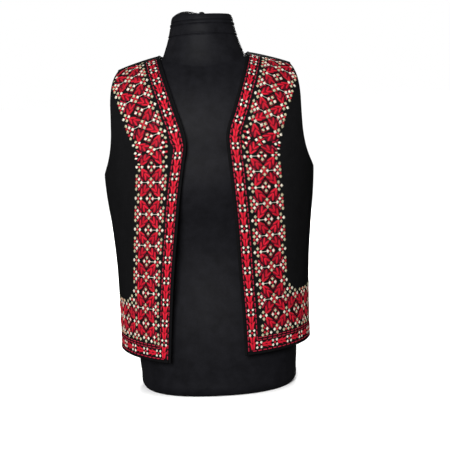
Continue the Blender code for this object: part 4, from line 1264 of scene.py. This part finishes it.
def cotton_jersey(colour):
    """Knitted cotton jersey stretched over the form: fine upright ribs of stitches, a little
    lint, and a soft dull gloss on the high places."""
    material, tree, place, yarn = new_material("Cotton jersey, knitted")
    worn = add_node(tree, "TexNoise", {"Vector": place, "Scale": 45.0, "Detail": 4.0, "Roughness": 0.65})
    grain = add_node(tree, "TexNoise", {"Vector": place, "Scale": 1500.0, "Detail": 3.0})
    both = add_node(tree, "Math", {0: worn, 1: grain}, operation="MULTIPLY")
    tone = add_node(tree, "MapRange", {"Value": both, "From Min": 0.12, "From Max": 0.42})
    shades = {"Factor": tone, COLOUR_A: shade_of(colour, 0.62), COLOUR_B: shade_of(colour, 1.55)}
    mixed = add_node(tree, "Mix", shades, COLOUR_OUT, data_type="RGBA")
    # wales stand 0.7 mm apart, drawn at 1.2 mm
    wales = {"Vector": yarn, "Scale": 262.0, "Distortion": 0.4, "Detail": 1.0}
    ribs = add_node(tree, "TexWave", wales, "Fac")
    rows = {"Vector": yarn, "Scale": 330.0, "Distortion": 0.6}
    courses = add_node(tree, "TexWave", rows, "Fac", bands_direction="Y")
    relief = ((ribs, 0.14, 0.0003), (courses, 0.08, 0.0002), (grain, 0.12, 0.0003))
    return finish_material(material, mixed, relief, Roughness=0.55, Specular_IOR_Level=0.05)


def painted_floor(colour):
    """Matt painted board: plain and pale, with the faintest unevenness of a roller."""
    material, tree, place, _ = new_material("Painted board, rolled")
    roller = add_node(tree, "TexNoise", {"Vector": place, "Scale": 9.0, "Detail": 3.0})
    shades = {"Factor": roller, COLOUR_A: shade_of(colour, 0.985), COLOUR_B: shade_of(colour, 1.0)}
    tone = add_node(tree, "Mix", shades, COLOUR_OUT, data_type="RGBA")
    return finish_material(material, tone, Roughness=0.9)


# ---------------- settings
def colour_setting(name, description, hex_colour):
    return bpy.props.FloatVectorProperty(
        name=name, description=description, default=linear(hex_colour), size=3, min=0.0, max=1.0,
        subtype="COLOR",
    )


def number_setting(name, description, default, **limits):
    return bpy.props.FloatProperty(name=name, description=description, default=default, **limits)


class FOLKVEST_PG_cloth(bpy.types.PropertyGroup):
    """Cloth of the vest."""

    wool_colour: colour_setting("Wool colour", "Colour of the felted wool panels", "#101011")
    tape_colour: colour_setting("Tape colour", "Colour of the binding tape", "#0C0C0D")
    crease_strength: number_setting(
        "Crease strength", "How deep the soft creases are, 1 as made", 1.0, min=0.0, max=1.2
    )


class FOLKVEST_PG_threads(bpy.types.PropertyGroup):
    """Threads of the embroidery."""

    red: colour_setting("Red", "Satin stitches of the leaves and tulips", "#CC172F")
    # the maroon thread is painted shade laid under the leaves
    maroon: colour_setting("Maroon", "Ground stitches under the leaves", "#5C0B1D")
    crimson: colour_setting("Crimson", "Running lines", "#B61836")
    cream: colour_setting("Cream", "Side dots and chain dots", "#F3ECDA")
    # beige is the cream thread in painted shade, for the dots above and below
    beige: colour_setting("Beige", "Dots above and below", "#CDC5A2")


class FOLKVEST_PG_form(bpy.types.PropertyGroup):
    """Cover of the dress form."""

    jersey_colour: colour_setting("Jersey colour", "Colour of the knitted cover", "#131316")


class FOLKVEST_PG_stage(bpy.types.PropertyGroup):
    """Floor, lights and camera."""

    floor_colour: colour_setting("Floor colour", "Colour of the painted floor", "#FFFFFF")
    floor_size: number_setting(
        "Floor size", "Length of a side of the floor", 60.0, min=4.0, subtype="DISTANCE", unit="LENGTH"
    )
    room_light: number_setting(
        "Room light", "Light that the pale room gives back, 1 is white", 0.10, min=0.0, max=1.0
    )
    ceiling_light: number_setting("Ceiling light", "Light from above on the floor, 1 is white", 1.02, min=0.0)
    key_power: number_setting("Key light", "Power of the key light in watts", 102.0, min=0.0)
    fill_power: number_setting("Fill light", "Power of the fill light in watts", 6.0, min=0.0)
    rear_power: number_setting("Rear light", "Power of the light behind the form in watts", 60.0, min=0.0)
    crease_power: number_setting(
        "Crease light", "Power of the light from one side on the back in watts", 110.0, min=0.0
    )
    camera_place: bpy.props.FloatVectorProperty(
        name="Camera place", description="Where the camera stands", size=3,
        default=(0.026, -1.85, 0.60), subtype="TRANSLATION", unit="LENGTH",
    )
    camera_dip: number_setting(
        "Camera dip", "How far the camera looks down", math.radians(8.6), subtype="ANGLE", unit="ROTATION"
    )
    camera_roll: number_setting(
        "Camera roll", "How far the camera leans to the right", math.radians(2.7),
        subtype="ANGLE", unit="ROTATION",
    )
    camera_lens: number_setting(
        "Camera lens", "Focal length in millimetres on a 36 mm sensor", 74.8, min=20.0
    )


class FOLKVEST_PG_settings(bpy.types.PropertyGroup):
    """All settings of the vest."""

    cloth: bpy.props.PointerProperty(type=FOLKVEST_PG_cloth)
    threads: bpy.props.PointerProperty(type=FOLKVEST_PG_threads)
    form: bpy.props.PointerProperty(type=FOLKVEST_PG_form)
    stage: bpy.props.PointerProperty(type=FOLKVEST_PG_stage)


# ---------------- operators
LIGHT_AIM = Vector((0.0, 0.0, 0.38))


def add_object(name, data):
    """Puts a light, a camera or a mesh into the scene."""
    placed = bpy.data.objects.new(name, data)
    bpy.context.scene.collection.objects.link(placed)
    return placed


def light_only(light, name, pieces):
    """Lets a light fall on some pieces alone."""
    lit = bpy.data.collections.new(name)
    for piece in pieces:
        lit.objects.link(piece)
    light.light_linking.receiver_collection = lit


class FOLKVEST_OT_stage(bpy.types.Operator):
    """Lay the pale floor, the soft studio light and the camera"""

    bl_idname = "folkvest.stage"
    bl_label = "Studio stage"

    def execute(self, context):
        settings = context.scene.folk_vest.stage
        half = settings.floor_size / 2
        mesh = bpy.data.meshes.new("studio_floor")
        corners = [(-half, -half, 0), (half, -half, 0), (half, half, 0), (-half, half, 0)]
        mesh.from_pydata(corners, [], [(0, 1, 2, 3)])
        mesh.materials.append(painted_floor(settings.floor_colour))
        floor = add_object("studio_floor", mesh)
        # dark cloth would lose its shape in the light that a pale floor throws up
        floor.visible_diffuse = floor.visible_glossy = False
        world = bpy.data.worlds.new("studio_air")
        world.use_nodes = True
        tree = world.node_tree
        seen = add_node(tree, "LightPath", {}, "Is Camera Ray")
        strength = add_node(tree, "Mix", {"Factor": seen, "A": settings.room_light, "B": 1.0})
        feed(tree, tree.nodes["Background"], {"Color": (1.0, 1.0, 1.0, 1.0), "Strength": strength})
        context.scene.world = world
        overhead = bpy.data.lights.new("ceiling_light", "SUN")
        overhead.energy, overhead.angle = math.pi * settings.ceiling_light, math.radians(60.0)
        # the ceiling whitens the floor alone
        light_only(add_object("ceiling_light", overhead), "floor_alone", [floor])
        lights = (
            ("key_softbox", (-0.42, -2.45, 1.20), 1.1, settings.key_power),
            ("right_softbox", (-2.5, 0.6, 1.2), 1.6, settings.fill_power),
            ("left_softbox", (2.5, 0.6, 1.2), 1.6, settings.fill_power / 2),
            ("rear_softbox", (0.3, 2.4, 1.1), 1.2, settings.rear_power),
            ("crease_softbox", (1.9, 1.7, 1.3), 1.0, settings.crease_power),
        )
        for name, place, size, power in lights:
            lamp = bpy.data.lights.new(name, "AREA")
            lamp.shape, lamp.size, lamp.energy = "DISK", size, power
            light = add_object(name, lamp)
            turn = (Vector(place) - LIGHT_AIM).to_track_quat("Z", "Y").to_matrix().to_4x4()
            light.matrix_world = Matrix.Translation(place) @ turn
        # the last light falls from one side on the back alone, so that its creases show
        light_only(light, "back_alone", [piece for piece in bpy.data.objects if piece.name.endswith("_back")])
        lens = bpy.data.cameras.new("studio_camera")
        lens.lens, lens.sensor_width, lens.clip_end = settings.camera_lens, 36.0, 200.0
        camera = add_object("studio_camera", lens)
        turn = Matrix.Rotation(QUARTER - settings.camera_dip, 4, "X")
        turn = turn @ Matrix.Rotation(-settings.camera_roll, 4, "Z")
        camera.matrix_world = Matrix.Translation(settings.camera_place) @ turn
        context.scene.camera = camera
        context.scene.view_settings.view_transform = "Standard"
        return {"FINISHED"}


class FOLKVEST_OT_dress_form(bpy.types.Operator):
    """Make the limbless dress form in its jersey cover"""

    bl_idname = "folkvest.dress_form"
    bl_label = "Dress form"

    def execute(self, context):
        jersey = cotton_jersey(context.scene.folk_vest.form.jersey_colour)
        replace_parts(form_piece("jersey_form", jersey), "dress_form")
        return {"FINISHED"}


class FOLKVEST_OT_panels(bpy.types.Operator):
    """Make the two fronts and the back in felted wool"""

    bl_idname = "folkvest.panels"
    bl_label = "Wool panels"

    def execute(self, context):
        wool = felted_wool(context.scene.folk_vest.cloth.wool_colour)
        for side, word in SIDES:
            panel = cloth_panel(f"wool_front_{word}", [(side, FRONT, *front_rows(side))], wool)
            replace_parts(panel, f"front_{word}")
        panel = cloth_panel("wool_back", [(side, BACK, *back_rows(side)) for side in (RIGHT, LEFT)], wool)
        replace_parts(panel, "back")
        return {"FINISHED"}


class FOLKVEST_OT_bindings(bpy.types.Operator):
    """Fold the cotton tape round the fronts, the neck and the hem"""

    bl_idname = "folkvest.bindings"
    bl_label = "Bindings"

    def execute(self, context):
        tape = cotton_tape(context.scene.folk_vest.cloth.tape_colour)
        low, high = EDGE_POINTS
        levels = np.concatenate([np.linspace(0.0, 1.0, low, endpoint=False), np.linspace(1.0, 2.0, high)])
        hems = {}
        for side, word in SIDES:
            _, points, normals, _, into = front_line(side, levels)
            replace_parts(fold_over(f"tape_front_{word}", points, normals, into, tape), f"binding_{word}")
            start = place_on_row(side, FRONT, np.zeros(1), front_edge(side))[0]
            start = distance_along(side, FRONT, 0.0, start, PANEL_INSET + CORNER_GAP)
            hems[side] = np.linspace(start, 0.0, HEM_POINTS[FRONT])
        right, left = (neck_frames(side, NECK_POINTS)[2:] for side in (RIGHT, LEFT))
        points, normals, into = (np.concatenate([a[::-1], b[1:]]) for a, b in zip(right, left))
        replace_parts(fold_over("tape_neck", points, normals, into, tape), "binding_neck")
        back = np.linspace(0.0, QUARTER, HEM_POINTS[BACK])
        stretches = [(side, facing, angles, np.zeros(angles.shape)) for side, facing, angles in (
            (RIGHT, FRONT, hems[RIGHT]), (RIGHT, BACK, back[1:]),
            (LEFT, BACK, back[::-1][1:-1]), (LEFT, FRONT, hems[LEFT][::-1]),
        )]
        points = np.concatenate([wall_point(*stretch) for stretch in stretches])
        normals = unit(np.concatenate([wall_normal(*stretch) for stretch in stretches]))
        into = unit(np.cross(normals, unit(np.gradient(points, axis=0))))
        into = into * np.sign(into[:, 2:3])
        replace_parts(fold_over("tape_hem", points, normals, into, tape), "binding_hem")
        return {"FINISHED"}


class FOLKVEST_OT_embroidery(bpy.types.Operator):
    """Stitch the counted pattern on the fronts and the hem of the back"""

    bl_idname = "folkvest.embroidery"
    bl_label = "Embroidery"

    def execute(self, context):
        colours = context.scene.folk_vest.threads
        yarns = {
            "red": stranded_wool("Crewel wool, madder red", colours.red, 0.02),
            # the maroon yarn is painted shade under the leaves
            "maroon": stranded_wool("Crewel wool, maroon", colours.maroon, 0.0),
            "crimson": stranded_wool("Crewel wool, crimson", colours.crimson, 0.02),
            "cream": stranded_wool("Pearl cotton, cream", colours.cream, 0.0),
            # the beige yarn is the cream cotton in painted shade
            "beige": stranded_wool("Pearl cotton, cream in painted shade", colours.beige, 0.0),
        }
        panels = [(word, *front_embroidery(side)) for side, word in SIDES] + [("back", *back_embroidery())]
        for word, stitches, place in panels:
            for thread in THREADS:
                name = f"stitches_{thread}_{word}"
                piece = thread_piece(name, *stitches.strands(thread, place), yarns[thread])
                if thread == "red":
                    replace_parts(piece, f"band_{word}")
        return {"FINISHED"}


class FOLKVEST_PT_sidebar(bpy.types.Panel):
    bl_label = "Folk Vest"
    bl_idname = "FOLKVEST_PT_sidebar"
    bl_space_type = "VIEW_3D"
    bl_region_type = "UI"
    bl_category = "Folk Vest"

    def draw(self, context):
        settings = context.scene.folk_vest
        for name in ("cloth", "threads", "form", "stage"):
            box = self.layout.box()
            group = getattr(settings, name)
            for key in group.__annotations__:
                box.prop(group, key)
        for operator in OPERATORS:
            self.layout.operator(operator.bl_idname)


OPERATORS = (
    FOLKVEST_OT_stage, FOLKVEST_OT_dress_form, FOLKVEST_OT_panels, FOLKVEST_OT_bindings,
    FOLKVEST_OT_embroidery,
)
CLASSES = (
    FOLKVEST_PG_cloth, FOLKVEST_PG_threads, FOLKVEST_PG_form, FOLKVEST_PG_stage, FOLKVEST_PG_settings,
) + OPERATORS + (FOLKVEST_PT_sidebar,)


def register():
    for kind in CLASSES:
        bpy.utils.register_class(kind)
    bpy.types.Scene.folk_vest = bpy.props.PointerProperty(type=FOLKVEST_PG_settings)


def unregister():
    del bpy.types.Scene.folk_vest
    for kind in reversed(CLASSES):
        bpy.utils.unregister_class(kind)


def main():
    register()
    bpy.ops.folkvest.dress_form()
    bpy.ops.folkvest.panels()
    bpy.ops.folkvest.bindings()
    bpy.ops.folkvest.embroidery()
    bpy.ops.folkvest.stage()


if __name__ == "__main__":
    main()
